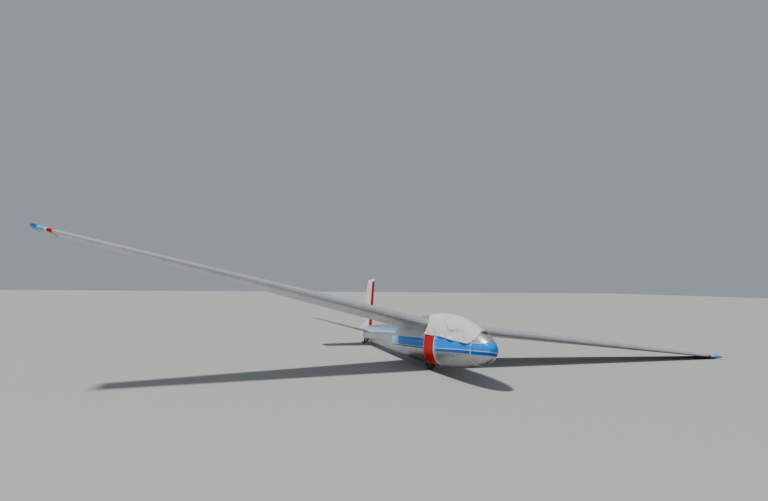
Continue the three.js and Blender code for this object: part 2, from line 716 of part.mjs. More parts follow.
function buildWing(side, sideName) {
  const panel = wingPanel(side);
  const full = panelSolid(panel, 0, wing.end / halfSpan);
  const hinged = hingedSurface(panel, full, {
    from: aileron.inner / halfSpan,
    to: aileron.outer / halfSpan,
    hinge: [aileron.hinge, aileron.hinge],
  });

  const tipCentre = panelPoint(panel, wing.end / halfSpan, 0.5, 0);
  const profile = [];
  const steps = 9;
  for (let k = 0; k <= steps; k += 1) {
    const share = k / steps;
    const radius = tipBody.radius * Math.sin(Math.PI * share ** 0.75) ** 0.7;
    profile.push(new THREE.Vector2(k === 0 || k === steps ? 0 : radius, tipBody.length * (0.5 - share)));
  }
  const spindle = new THREE.LatheGeometry(profile.reverse(), 14)
    .rotateZ(-Math.PI / 2)
    .translate(tipCentre.x + tipBody.nose, tipCentre.y, tipCentre.z - tipBody.drop);
  const spindleSolid = solidFrom(spindle);
  const spindleSpace = solidFrom(
    spindle
      .clone()
      .translate(-tipCentre.x, -tipCentre.y, -tipCentre.z)
      .scale(1.002, 1 + seatGap / tipBody.radius, 1 + seatGap / tipBody.radius)
      .translate(tipCentre.x, tipCentre.y, tipCentre.z),
  );

  let fixed = full.subtract(hinged.space).subtract(wholeFuselage).subtract(spindleSpace);
  fixed = addBrackets(hinged, fixed, aileron.brackets);

  const shares = side > 0 ? [flap.inner, flap.outer] : [flap.outer, flap.inner];
  const [flapStart, flapEnd] = shares.map((across) => panelPoint(panel, across / halfSpan, flap.nose, 0));
  const flapFrame = frameAlong(flapStart, flapEnd);
  const flapLength = flapStart.distanceTo(flapEnd);
  const flapOutline = (ahead) => [
    [-deep * flap.slant + ahead, deep],
    [deep * flap.slant + ahead, -deep],
    [-tall, -deep],
    [-tall, deep],
  ];
  const flapSpace = prism(flapOutline(flap.noseGap), -endGap, flapLength + endGap, flapFrame);
  let flapSolid = full.intersect(prism(flapOutline(0), 0, flapLength, flapFrame));
  fixed = fixed.subtract(flapSpace);

  // The flap's two pins at each end run in curved tracks about an axis below the wing.
  const travel = radians(flap.travelDegrees);
  const middle = (flap.pins[0] + flap.pins[1]) / 2 + (flap.trackRadius * travel) / 2;
  const axisAft = middle - flap.trackRadius * flap.meanSlope;
  const axisDown = flap.trackRadius * Math.sqrt(1 - flap.meanSlope ** 2) + flap.meanSlope * middle;
  const pinPlaces = flap.pins.map((aft) => {
    const angle = Math.asin((aft - axisAft) / flap.trackRadius);
    return { aft, height: flap.trackRadius * Math.cos(angle) - axisDown, angle };
  });
  const trackAngles = [pinPlaces[0].angle - trackEnd, pinPlaces[1].angle + travel + trackEnd];
  const trackSteps = 8;
  const trackOutline = [];
  for (const [edge, order] of [[flapPin.radius + seatGap, 1], [-flapPin.radius - seatGap, -1]]) {
    for (let k = 0; k <= trackSteps; k += 1) {
      const share = order > 0 ? k / trackSteps : 1 - k / trackSteps;
      const angle = THREE.MathUtils.lerp(trackAngles[0], trackAngles[1], share);
      const reach = flap.trackRadius + edge;
      trackOutline.push([-(axisAft + reach * Math.sin(angle)), reach * Math.cos(angle) - axisDown]);
    }
  }
  for (const [wallSide, edge] of [[-1, 0], [1, flapLength]]) {
    const near = edge + wallSide * endGap;
    const far = near + wallSide * (flapPin.reach + 2);
    const mouth = near - wallSide * 2;
    fixed = fixed.subtract(prism(trackOutline, Math.min(mouth, far), Math.max(mouth, far), flapFrame));
    for (const { aft, height } of pinPlaces) {
      const pinFrame = flapFrame.clone().multiply(new THREE.Matrix4().makeTranslation(-aft, 0, height));
      const ends = [edge - wallSide * flapPin.root, near + wallSide * flapPin.reach];
      const pin = bar(flapPin.radius, flapPin.radius, Math.min(...ends), Math.max(...ends), pinFrame);
      flapSolid = flapSolid.add(pin);
    }
  }

  // Airbrake plates stand in pockets and slide out square to the wing skin.
  for (const [level, at] of [["upper", airbrake.upperAt], ["lower", airbrake.lowerAt]]) {
    const sign = level === "upper" ? 1 : -1;
    const brakeShares = side > 0 ? [airbrake.inner, airbrake.outer] : [airbrake.outer, airbrake.inner];
    const [start, end] = brakeShares.map((across) => panelPoint(panel, across / halfSpan, at, 0));
    const frame = frameAlong(start, end);
    const length = start.distanceTo(end);
    const slab = (half, ends, depth) => {
      const low = Math.min(-sign * depth, sign * deep);
      const high = Math.max(-sign * depth, sign * deep);
      return block(new THREE.Vector3(-half, -ends, low), new THREE.Vector3(half, length + ends, high), frame);
    };
    const plate = full.intersect(slab(airbrake.thickness / 2, 0, airbrake.depth));
    fixed = fixed.subtract(slab(airbrake.thickness / 2 + surfaceGap, seatGap, airbrake.depth + surfaceGap));
    const name = `airbrake_${level}_${sideName}`;
    addPiece(name, plate, bareMetal, pivot(`${name}_slide`, frame));
  }

  addPiece(`wing_${sideName}`, fixed, bareMetal);
  const aileronGroup = pivot(`aileron_${sideName}_hinge`, hinged.frame);
  addPiece(`aileron_${sideName}`, hinged.moving, bareMetal, aileronGroup);
  const trackFrame = flapFrame.clone().multiply(new THREE.Matrix4().makeTranslation(-axisAft, 0, -axisDown));
  addPiece(`flap_${sideName}`, flapSolid, bareMetal, pivot(`flap_${sideName}_hinge`, trackFrame));
  return addPiece(`tip_body_${sideName}`, spindleSolid, bluePaint);
}

// Fin and rudder; the rudder's horn balance is the top of the tail, over the fin.

const uprightTail = finPanel();
const uprightSolid = panelSolid(uprightTail, 0, 1, { rounded: tipRound });
const rudderParts = hingedSurface(uprightTail, uprightSolid, {
  from: 0,
  to: 1,
  hinge: [
    (rudderHinge - fin.baseLeadingEdge) / fin.baseChord,
    (rudderHinge - fin.topLeadingEdge) / fin.topChord,
  ],
  noseTo: (fin.hornBottom - fin.base) / (fin.top - fin.base),
  openEnd: true,
});

function aboveHeight(height) {
  return block(new THREE.Vector3(-farAway * 3, -wide, height), new THREE.Vector3(0, wide, height + farAway));
}

function buildUprightTail() {
  const belowHorn = aboveHeight(fin.foot).subtract(aboveHeight(fin.hornBottom - hornGap));
  let fixed = uprightSolid.intersect(belowHorn).subtract(rudderParts.space).subtract(wholeFuselage);
  rudderParts.moving = joined(rudderParts.moving, uprightSolid.intersect(aboveHeight(fin.hornBottom)));
  fixed = addBrackets(rudderParts, fixed, [0.3, 0.8]);
  const { front, frontHeight, rear, rearHeight } = rudderHeel;
  const heel = sideProfile([[front, frontHeight], [rear, rearHeight], [rear, -tall], [front, -tall]], wide);
  addPiece("fin", fixed, whitePaint);
  addPiece("rudder", rudderParts.moving.subtract(heel), whitePaint, pivot("rudder_hinge", rudderParts.frame));
}

// One half of the tailplane with its elevator

function buildTailplane(side, sideName) {
  const panel = tailPanel(side);
  const full = panelSolid(panel, 0, 1, { rounded: tipRound });
  const hinged = hingedSurface(panel, full, {
    from: elevator.inner,
    to: 1,
    hinge: elevator.hinge,
    openEnd: true,
  });
  const rudderSide = block(
    new THREE.Vector3(-farAway * 3, -rudderClearWidth, -tall),
    new THREE.Vector3(-rudderClearAft, rudderClearWidth, tall),
  );
  const finSpace = panelSolid(uprightTail, 0, 1, { grow: seatGap });
  let fixed = full.subtract(hinged.space).subtract(wholeFuselage).subtract(finSpace).subtract(rudderSide);
  fixed = addBrackets(hinged, fixed, elevator.brackets);
  addPiece(`tailplane_${sideName}`, fixed, bareMetal);
  const elevatorGroup = pivot(`elevator_${sideName}_hinge`, hinged.frame);
  addPiece(`elevator_${sideName}`, hinged.moving, bareMetal, elevatorGroup);
}

// Main wheel in its fork, and the tail skid with its rubber buffer

function buildLandingGear() {
  const hub = new THREE.Matrix4().setPosition(-wheel.aft, 0, wheel.height);
  const group = pivot("wheel_hinge", hub);
  const half = wheel.width / 2;
  const ring = (profile, segments) => {
    const points = profile.map(([r, y]) => new THREE.Vector2(r, y));
    return solidFrom(new THREE.LatheGeometry(points, segments).applyMatrix4(hub));
  };
  const tyre = ring(
    [
      [wheel.rim, -half + 18],
      [wheel.rim + 30, -half + 3],
      [wheel.radius - 38, -half],
      [wheel.radius - 10, -half * 0.66],
      [wheel.radius, -half * 0.25],
      [wheel.radius, half * 0.25],
      [wheel.radius - 10, half * 0.66],
      [wheel.radius - 38, half],
      [wheel.rim + 30, half - 3],
      [wheel.rim, half - 18],
      [wheel.rim, -half + 18],
    ],
    24,
  );
  const rim = wheel.rim - seatGap;
  const hubSolid = ring(
    [
      [wheel.axle + seatGap, -hubWeb.bossHalf],
      [hubWeb.bossRadius, -hubWeb.bossHalf],
      [hubWeb.inner, -hubWeb.half],
      [hubWeb.outer, -hubWeb.half],
      [rim, -hubWeb.flangeHalf],
      [rim, hubWeb.flangeHalf],
      [hubWeb.outer, hubWeb.half],
      [hubWeb.inner, hubWeb.half],
      [hubWeb.bossRadius, hubWeb.bossHalf],
      [wheel.axle + seatGap, hubWeb.bossHalf],
      [wheel.axle + seatGap, -hubWeb.bossHalf],
    ],
    24,
  );
  const tyreMesh = addPiece("tyre", tyre, tyreRubber, group);
  addPiece("hub", hubSolid, bareMetal, group);

  const reach = fork.inside + fork.plate;
  const axleEnd = reach + fork.axleEnd;
  addPiece("axle", bar(wheel.axle, wheel.axle, -axleEnd, axleEnd, hub, 24), darkSteel);
  const roof = wheelWell.roof - seatGap;
  const legs = [-1, 1].map((side) => {
    const centre = side * (fork.inside + fork.plate / 2);
    return sideProfile(
      [
        [wheel.aft - fork.width / 2, roof],
        [wheel.aft - fork.width / 2, wheel.height],
        [wheel.aft - fork.heelHalf, wheel.height - fork.heelDrop],
        [wheel.aft + fork.heelHalf, wheel.height - fork.heelDrop],
        [wheel.aft + fork.width / 2, wheel.height],
        [wheel.aft + fork.width / 2, roof],
      ],
      fork.plate / 2,
      centre,
    );
  });
  const bridge = block(
    new THREE.Vector3(-wheel.aft - fork.width / 2, -reach, roof - fork.bridge),
    new THREE.Vector3(-wheel.aft + fork.width / 2, reach, roof),
  );
  const bore = bar(wheel.axle + seatGap, wheel.axle + seatGap, -wide, wide, hub, 24);
  addPiece("wheel_fork", joined(...legs, bridge).subtract(bore), darkSteel);
  return [tyreMesh, buildTailSkid()];
}

// A bent leaf under the tail with a rubber buffer between it and the fuselage
function buildTailSkid() {
  const leafOutline = (lift) => [
    [skid.front, skid.top + lift],
    [skid.front, skid.root + lift],
    [skid.heel - 180, skid.bottom + 12 + lift],
    [skid.heel - 110, skid.bottom + lift],
    [skid.heel, skid.bottom + lift],
    [skid.heel + 40, skid.bottom + 42 + lift],
    [skid.heel + 26, skid.bottom + 52 + lift],
    [skid.heel - 20, skid.bottom + 26 + lift],
    [skid.heel - 120, skid.bottom + 34 + lift],
    [skid.front + 150, skid.root + lift],
    [skid.front + 130, skid.top + lift],
  ];
  const leaf = sideProfile(leafOutline(0), skid.half).subtract(wholeFuselage);
  const skidMesh = addPiece("tail_skid", leaf, darkSteel);
  const upright = new THREE.Matrix4().makeRotationX(Math.PI / 2).setPosition(-skidBuffer.aft, 0, skid.bottom);
  const leafTop = leafOutline(seatGap).slice(7, 10);
  const underLeaf = [...leafTop, [skid.front, -tall], [skid.heel + 100, -tall]];
  const buffer = bar(skidBuffer.radius, skidBuffer.radius, 0, -skid.bottom, upright, 14)
    .subtract(wholeFuselage)
    .subtract(sideProfile(underLeaf, wide));
  addPiece("skid_buffer", buffer, tyreRubber);
  return skidMesh;
}

buildFuselage(rudderParts.space);
buildNoseFittings();
buildCover(buildCanopy());
buildCockpit();
const tipMesh = buildWing(1, "port");
buildWing(-1, "starboard");
buildUprightTail();
buildTailplane(1, "port");
buildTailplane(-1, "starboard");
const groundMeshes = [...buildLandingGear(), tipMesh];

// Parked attitude: the plane through the lowest points of tyre, skid and port wing tip is level.

function pointsOf(mesh) {
  mesh.updateWorldMatrix(true, false);
  const position = mesh.geometry.attributes.position;
  const points = [];
  for (let k = 0; k < position.count; k += 1) {
    points.push(new THREE.Vector3().fromBufferAttribute(position, k).applyMatrix4(mesh.matrixWorld));
  }
  return points;
}

function parkedTurn(meshes) {
  const clouds = meshes.map(pointsOf);
  const up = new THREE.Vector3(0, 0, 1);
  for (let pass = 0; pass < 10; pass += 1) {
    const lower = (low, point) => (point.dot(up) < low.dot(up) ? point : low);
    const [wheelFoot, skidFoot, tipFoot] = clouds.map((points) => points.reduce(lower));
    const toSkid = new THREE.Vector3().subVectors(skidFoot, wheelFoot);
    const toTip = new THREE.Vector3().subVectors(tipFoot, wheelFoot);
    up.crossVectors(toTip, toSkid).normalize();
  }
  const ahead = forward.clone().addScaledVector(up, -forward.dot(up)).normalize();
  const left = new THREE.Vector3().crossVectors(up, ahead);
  return new THREE.Matrix4().makeBasis(ahead, left, up).transpose();
}

airframe.setRotationFromMatrix(parkedTurn(groundMeshes));
const footprint = new THREE.Box3().setFromObject(airframe, true);
const centre = footprint.getCenter(new THREE.Vector3());
airframe.position.set(-centre.x, -centre.y, -footprint.min.z);

const group = new THREE.Group();
group.name = "sailplane_glider";
group.add(airframe);

export default group;
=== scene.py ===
import json
import math

import bmesh
import bpy
import numpy as np
from mathutils import Matrix, Vector


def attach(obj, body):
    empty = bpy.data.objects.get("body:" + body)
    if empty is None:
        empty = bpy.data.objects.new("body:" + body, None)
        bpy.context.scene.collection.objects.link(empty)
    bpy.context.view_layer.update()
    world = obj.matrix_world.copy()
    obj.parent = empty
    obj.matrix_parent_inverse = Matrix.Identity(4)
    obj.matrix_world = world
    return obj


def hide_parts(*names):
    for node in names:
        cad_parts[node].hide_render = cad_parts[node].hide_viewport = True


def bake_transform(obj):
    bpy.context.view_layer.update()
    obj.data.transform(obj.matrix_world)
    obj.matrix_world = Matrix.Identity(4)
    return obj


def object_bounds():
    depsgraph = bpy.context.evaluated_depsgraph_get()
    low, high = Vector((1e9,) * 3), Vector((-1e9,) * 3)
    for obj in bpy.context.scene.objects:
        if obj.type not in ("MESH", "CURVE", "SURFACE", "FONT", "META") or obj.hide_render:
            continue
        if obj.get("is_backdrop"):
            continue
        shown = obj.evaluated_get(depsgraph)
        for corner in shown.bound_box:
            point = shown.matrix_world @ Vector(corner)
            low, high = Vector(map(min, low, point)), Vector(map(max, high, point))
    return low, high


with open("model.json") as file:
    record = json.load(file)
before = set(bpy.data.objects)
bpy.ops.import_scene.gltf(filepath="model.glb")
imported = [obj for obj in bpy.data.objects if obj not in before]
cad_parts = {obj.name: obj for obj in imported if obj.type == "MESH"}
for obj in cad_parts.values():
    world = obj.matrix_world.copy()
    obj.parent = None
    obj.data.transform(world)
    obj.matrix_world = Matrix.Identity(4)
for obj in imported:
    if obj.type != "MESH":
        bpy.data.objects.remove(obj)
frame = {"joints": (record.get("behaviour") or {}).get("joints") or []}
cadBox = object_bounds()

# Airframe coordinates, in metres: x to the nose, y to port, z up from the nose tip.
# "Aft" is the distance behind the nose tip. Every piece is worked out in them and then set down
# in the parked attitude, which the wheel's and the rudder's axes give.

joints = {joint["name"]: joint for joint in frame["joints"]}
port = np.array(joints["wheel_turn"]["axis"])
upward = np.array(joints["rudder_turn"]["axis"])
port /= np.linalg.norm(port)
upward /= np.linalg.norm(upward)
parkedTurn = np.stack((np.cross(port, upward), port, upward), axis=1)
wheelCentre = {"aft": 2.620, "height": -0.387}
wheelPlace = np.array(joints["wheel_turn"]["pos_m"])
noseTip = wheelPlace - parkedTurn @ np.array((-wheelCentre["aft"], 0, wheelCentre["height"]))


def parked(points):  # airframe points to the shared frame
    return np.asarray(points, float) @ parkedTurn.T + noseTip


def linked(name, data):  # a new object in the scene
    piece = bpy.data.objects.new(name, data)
    bpy.context.collection.objects.link(piece)
    return piece


# Camera

photo = {"width": 768, "height": 501, "focal": 524.5, "horizonRow": 282.8}
view = {"ahead": 10.890, "port": -4.997, "height": 1.924, "heading": 160.52, "roll": 0.703}


def addCamera():
    sensor = 36.0
    data = bpy.data.cameras.new("photoCamera")
    data.sensor_width = sensor
    data.lens = photo["focal"] * sensor / photo["width"]
    data.clip_end = 400
    camera = linked("photoCamera", data)
    pitch = math.atan((photo["horizonRow"] - photo["height"] / 2) / photo["focal"])
    heading = math.radians(view["heading"])
    roll = math.radians(view["roll"])
    look = Vector((math.cos(heading) * math.cos(pitch), math.sin(heading) * math.cos(pitch), math.sin(pitch)))
    level = Vector((math.sin(heading), -math.cos(heading), 0))
    above = level.cross(look)
    right = level * math.cos(roll) + above * math.sin(roll)
    above = right.cross(look)
    place = (wheelPlace[0] + view["ahead"], wheelPlace[1] + view["port"], view["height"])
    turn = Matrix((right, above, -look)).transposed().to_4x4()
    camera.matrix_world = Matrix.Translation(place) @ turn
    bpy.context.scene.camera = camera


addCamera()
print("camera placed")


# Mesh helpers

# Quads between successive rows of a grid of points; closed joins the last column to the first.
def gridFaces(rows, columns, closed=False):
    row = np.arange(rows - 1)[:, None] * columns
    column = np.arange(columns if closed else columns - 1)[None, :]
    a = row + column
    b = row + (column + 1) % columns
    return np.stack((a, b, b + columns, a + columns), axis=-1).reshape(-1, 4)


def fanFaces(ring, centre):  # triangles from a ring of point numbers to one centre point
    return np.stack((ring, np.roll(ring, -1), np.full(len(ring), centre)), axis=1)


# An open grid (rows, columns, 3); keep marks the cells that are there.
def sheetPart(grid, keep=None):
    rows, columns = grid.shape[:2]
    faces = gridFaces(rows, columns)
    if keep is not None:
        faces = faces[np.asarray(keep).reshape(-1)]
    return grid.reshape(-1, 3), [faces]


# A closed tube through rings (rows, columns, 3), its ends closed by fans to their middles.
def tubePart(rings):
    rings = np.asarray(rings)
    rows, columns = rings.shape[:2]
    points = rings.reshape(-1, 3)
    faces = [gridFaces(rows, columns, closed=True)]
    for row in (0, rows - 1):
        ring = np.arange(columns) + row * columns
        faces.append(fanFaces(ring, len(points)))
        points = np.vstack((points, rings[row].mean(axis=0)))
    return points, faces


# An outline in two of the axes, given a thickness along the third.
def flatPart(outline, ends, axis):
    count = len(outline)
    points = np.concatenate([np.insert(outline, axis, end, axis=1) for end in ends])
    ring = np.arange(count)
    return points, [gridFaces(2, count, closed=True), ring[None, ::-1], ring[None] + count]


def platePart(outline, low, high):  # a flat plate: an outline of (aft, height) given a thickness across
    return flatPart(np.array(outline) * (-1.0, 1.0), (low, high), 1)


# A tube that closes on itself both ways, such as a hoop of round section.
def ringPart(rings):
    rows, columns = rings.shape[:2]
    faces = gridFaces(rows + 1, columns, closed=True) % (rows * columns)
    return rings.reshape(-1, 3), [faces]


# A box with its long edges bevelled: four eight-sided rings from end to end along x.
def boxPart(low, high, bevel):
    low, high = np.array(low, float), np.array(high, float)
    middle, half = (low + high) / 2, (high - low) / 2
    bevel = min(bevel, half.min() * 0.9)
    rings = []
    for x, inset in ((-half[0], bevel), (-half[0] + bevel, 0), (half[0] - bevel, 0), (half[0], bevel)):
        y, z = half[1] - inset, half[2] - inset
        corners = [(y - bevel, z), (y, z - bevel), (y, -z + bevel), (y - bevel, -z)]
        corners += [(-y + bevel, -z), (-y, -z + bevel), (-y, z - bevel), (-y + bevel, z)]
        rings.append([(x, v, w) for v, w in corners])
    points, faces = tubePart(rings)
    return points + middle, faces


# A profile of (radius, distance along the axis) turned about an axis through start.
def lathePart(profile, start, axis, segments=48, closedProfile=False):
    profile = np.asarray(profile, float)
    axis = np.array(axis, float) / np.linalg.norm(axis)
    side = np.cross(axis, (0, 0, 1) if abs(axis[2]) < 0.9 else (1, 0, 0))
    side /= np.linalg.norm(side)
    other = np.cross(axis, side)
    angle = np.arange(segments) * 2 * np.pi / segments
    round_ = np.cos(angle)[:, None] * side + np.sin(angle)[:, None] * other
    rings = np.array(start) + profile[:, 1, None, None] * axis + profile[:, 0, None, None] * round_
    return ringPart(rings) if closedProfile else tubePart(rings)


# A round tube along a path: each ring stands square to the path, carried on without twist.
def pipePart(path, radius, sides=12, closed=False):
    path = np.asarray(path, float)
    ahead = np.gradient(path, axis=0)
    if closed:
        ahead = np.roll(path, -1, axis=0) - np.roll(path, 1, axis=0)
    ahead /= np.linalg.norm(ahead, axis=1, keepdims=True)
    side = np.cross(ahead[0], (0.13, 0.21, 1.0))
    sides_ = []
    for direction in ahead:
        side = side - direction * (side @ direction)
        side = side / np.linalg.norm(side)
        sides_.append(side)
    sides_ = np.array(sides_)
    other = np.cross(ahead, sides_)
    angle = np.arange(sides) * 2 * np.pi / sides
    radius = np.broadcast_to(radius, (len(path),))[:, None, None]
    rings = path[:, None] + radius * (
        np.cos(angle)[None, :, None] * sides_[:, None] + np.sin(angle)[None, :, None] * other[:, None]
    )
    return ringPart(rings) if closed else tubePart(rings)


def addWall(piece, thickness, offset):  # offset -1 thickens a skin inwards, 1 outwards
    wall = piece.modifiers.new("wall", "SOLIDIFY")
    wall.thickness = thickness
    wall.offset = offset
    wall.use_even_offset = True
    return wall


# One piece from parts, each a pair of points and face arrays, or a triple with a material number.
# Equal points are merged; closed parts get their normals turned outwards.
def addPiece(name, parts, material, body="airframe", nodes=(), sharp=32, thickness=0.0, closed=True):
    materials = material if isinstance(material, (list, tuple)) else [material]
    points, faces, numbers, count = [], [], [], 0
    for part in parts:
        partPoints, partFaces = part[0], part[1]
        number = part[2] if len(part) > 2 else 0
        points.append(parked(partPoints))
        for block in partFaces:
            faces.extend((block + count).tolist())
            numbers.extend([number] * len(block))
        count += len(partPoints)
    mesh = bpy.data.meshes.new(name)
    mesh.from_pydata(np.vstack(points).tolist(), [], faces)
    mesh.polygons.foreach_set("material_index", numbers)
    for finish in materials:
        mesh.materials.append(finish)
    work = bmesh.new()
    work.from_mesh(mesh)
    bmesh.ops.remove_doubles(work, verts=work.verts, dist=1e-5)
    bmesh.ops.dissolve_degenerate(work, edges=work.edges, dist=1e-6)
    if closed:
        bmesh.ops.recalc_face_normals(work, faces=work.faces)
    work.to_mesh(mesh)
    work.free()
    mesh.shade_smooth()
    mesh.set_sharp_from_angle(angle=math.radians(sharp))
    piece = linked(name, mesh)
    if thickness:
        addWall(piece, thickness, -1).material_offset = len(materials) - 1
    if body:
        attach(piece, body)
    if nodes:
        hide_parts(*nodes)
    return piece


def powered(x, power):  # sgn(x) |x|^power
    return np.sign(x) * np.abs(x) ** power


def runLength(places):  # distance along a line of places from its start
    return np.concatenate(([0], np.cumsum(np.linalg.norm(np.diff(places, axis=0), axis=1))))


def lineNormals(line):  # unit directions square to a line in side view
    ahead = np.gradient(line, axis=0)
    ahead /= np.linalg.norm(ahead, axis=1, keepdims=True)
    return np.stack((-ahead[:, 1], ahead[:, 0]), axis=1)


# Monotone cubic through the points (xs, ys): inner slopes are harmonic means of the chords.
def smoothThrough(xs, ys, x):
    step = np.diff(xs)
    chord = np.diff(ys) / step
    slope = np.concatenate((chord[:1], np.zeros(len(xs) - 2), chord[-1:]))
    same = chord[:-1] * chord[1:] > 0
    before, after = np.where(same, chord[:-1], 1), np.where(same, chord[1:], 1)
    weightA, weightB = 2 * step[1:] + step[:-1], step[1:] + 2 * step[:-1]
    mean = (weightA + weightB) / (weightA / before + weightB / after)
    slope[1:-1] = np.where(same, mean, 0)
    k = np.clip(np.searchsorted(xs, x) - 1, 0, len(step) - 1)
    t = (x - xs[k]) / step[k]
    rise = (2 * t ** 3 - 3 * t ** 2 + 1) * ys[k] + (3 * t ** 2 - 2 * t ** 3) * ys[k + 1]
    return rise + step[k] * ((t ** 3 - 2 * t ** 2 + t) * slope[k] + (t ** 3 - t ** 2) * slope[k + 1])


# Fuselage outline: aft, half width, top, bottom, height of the widest line
fuselageTable = np.array([
    (0.000, 0.000, -0.022, -0.022, -0.022),
    (0.014, 0.066, 0.048, -0.092, -0.020),
    (0.050, 0.112, 0.095, -0.142, -0.020),
    (0.110, 0.154, 0.150, -0.190, -0.018),
    (0.250, 0.210, 0.236, -0.262, -0.010),
    (0.500, 0.258, 0.338, -0.330, 0.000),
    (0.800, 0.286, 0.448, -0.378, 0.000),
    (1.200, 0.303, 0.566, -0.415, 0.000),
    (1.700, 0.309, 0.650, -0.440, 0.000),
    (2.300, 0.309, 0.684, -0.445, 0.000),
    (3.000, 0.304, 0.658, -0.430, 0.020),
    (4.200, 0.268, 0.540, -0.342, 0.060),
    (6.000, 0.175, 0.428, -0.202, 0.110),
    (7.600, 0.088, 0.358, -0.056, 0.150),
    (7.850, 0.060, 0.346, -0.030, 0.155),
])
hull = {"noseJoint": 0.358, "frontJoint": 2.400, "rearJoint": 4.300, "stern": 7.830, "wall": 0.020, "seam": 0.0006}
roundness = {"across": 0.92, "up": 0.96}


# Half width, top, bottom and widest height, read along the square root of the distance aft.
def hullAt(aft):
    along = np.sqrt(np.maximum(aft, 0))
    knots = np.sqrt(fuselageTable[:, 0])
    return [smoothThrough(knots, fuselageTable[:, k], along) for k in range(1, 5)]


# A ring is two half ovals on the widest line: y = w sgn(cos a)|cos a|^0.92, z = rise sgn(sin a)|sin a|^0.96.
def hullPoint(aft, angle, grow=0.0):
    aft, angle = np.broadcast_arrays(np.asarray(aft, float), np.asarray(angle, float))
    halfWidth, top, bottom, waist = hullAt(aft)
    up, across = np.sin(angle), np.cos(angle)
    rise = np.where(up > 0, top - waist, waist - bottom) + grow
    y = (halfWidth + grow) * powered(across, roundness["across"])
    z = waist + rise * powered(up, roundness["up"])
    return np.stack((-aft, y, z), axis=-1)


# The ring's angle on the port side at a given height.
def angleAtHeight(aft, height):
    top, bottom, waist = hullAt(np.asarray(aft, float))[1:]
    off = height - waist
    rise = np.where(off > 0, top - waist, waist - bottom)
    share = np.clip(np.abs(off) / rise, 0, 1) ** (1 / roundness["up"])
    return np.sign(off) * np.arcsin(share)


# The ring's angle below the widest line, on the port side, at a given distance from the middle.
def angleAtWidth(aft, width):
    halfWidth = hullAt(np.asarray(aft, float))[0]
    return -np.arccos(np.clip(width / halfWidth, 0, 1) ** (1 / roundness["across"]))


# Half the fuselage's width at a height.
def hullHalfWidth(aft, height):
    angle = angleAtHeight(aft, height)
    return hullAt(np.asarray(aft, float))[0] * np.abs(np.cos(angle)) ** roundness["across"]


# Canopy edge in side view, shared by the tub, the frame, the glass and the cover
canopy = {
    "front": 0.620, "frontHeight": 0.104, "lean": -0.16, "rear": 2.360, "rearHeight": 0.200, "endGap": 0.006,
    "rail": 0.048, "glassOut": -0.006,
}


def sillHeight(aft):
    share = (np.asarray(aft, float) - canopy["front"]) / (canopy["rear"] - canopy["front"])
    return canopy["frontHeight"] + share * (canopy["rearHeight"] - canopy["frontHeight"])


# Where a line that leans in side view meets the skin at each angle, found in a few passes.
def leaningAft(foot, lean, angle, grow=0.0):
    aft = foot + 0.0 * np.asarray(angle, float)
    for _ in range(6):
        height = hullPoint(aft, angle, grow)[..., 2]
        aft = foot + lean * np.maximum(height - sillHeight(foot), 0)
    return aft


def spread(start, end, count):  # evenly spaced rows from one array to another
    share = np.linspace(0, 1, count)[(...,) + (None,) * np.ndim(start)]
    return start + share * (np.asarray(end) - start)


# Materials

def newMaterial(name):
    material = bpy.data.materials.new(name)
    material.use_nodes = True
    tree = material.node_tree
    return material, tree, tree.nodes["Principled BSDF"]


def feed(tree, socket, value):  # a number, a colour or another node's output goes into a socket
    if isinstance(value, (int, float)):
        socket.default_value = value
    elif isinstance(value, tuple):
        socket.default_value = (*value, 1)
    else:
        tree.links.new(value, socket)


shaderSockets = {
    "colour": "Base Color", "roughness": "Roughness", "metallic": "Metallic", "specular": "Specular IOR Level",
    "sheen": "Sheen Weight", "sheenRoughness": "Sheen Roughness", "transmission": "Transmission Weight",
    "ior": "IOR",
}


def setShader(tree, shader, **values):
    for key, value in values.items():
        feed(tree, shader.inputs[shaderSockets[key]], value)


def mathNode(tree, operation, *values, clamp=False):
    node = tree.nodes.new("ShaderNodeMath")
    node.operation = operation
    node.use_clamp = clamp
    for socket, value in zip(node.inputs, values):
        feed(tree, socket, value)
    return node.outputs[0]


# Aft, across and height, from Object coordinates turned back out of the parked attitude.
def airframeSockets(tree):
    place = tree.nodes.new("ShaderNodeTexCoord")
    mapping = tree.nodes.new("ShaderNodeMapping")
    back = Matrix(parkedTurn.T.tolist())
    mapping.inputs["Rotation"].default_value = back.to_euler()
    mapping.inputs["Location"].default_value = -(back @ Vector(noseTip))
    tree.links.new(place.outputs["Object"], mapping.inputs["Vector"])
    split = tree.nodes.new("ShaderNodeSeparateXYZ")
    tree.links.new(mapping.outputs["Vector"], split.inputs[0])
    aft = mathNode(tree, "MULTIPLY", split.outputs[0], -1.0)
    return mapping.outputs["Vector"], aft, split.outputs[1], split.outputs[2]


def noiseNode(tree, vector, scale, detail=4.0, roughness=0.5, stretch=None):
    if stretch:
        mapping = tree.nodes.new("ShaderNodeMapping")
        mapping.inputs["Scale"].default_value = stretch
        tree.links.new(vector, mapping.inputs["Vector"])
        vector = mapping.outputs["Vector"]
    noise = tree.nodes.new("ShaderNodeTexNoise")
    for key, number in (("Scale", scale), ("Detail", detail), ("Roughness", roughness)):
        noise.inputs[key].default_value = number
    tree.links.new(vector, noise.inputs["Vector"])
    return noise.outputs["Fac"]


# 1 where low < value < high, with edges a little soft.
def between(tree, value, low, high, soft=0.0015):
    rising = rampNode(tree, value, low - soft, low + soft)
    falling = rampNode(tree, value, high - soft, high + soft)
    return mathNode(tree, "SUBTRACT", rising, falling, clamp=True)


def rampNode(tree, value, fromMin, fromMax, toMin=0.0, toMax=1.0):
    node = tree.nodes.new("ShaderNodeMapRange")
    for name, number in (("From Min", fromMin), ("From Max", fromMax), ("To Min", toMin), ("To Max", toMax)):
        node.inputs[name].default_value = number
    tree.links.new(value, node.inputs["Value"])
    return node.outputs["Result"]


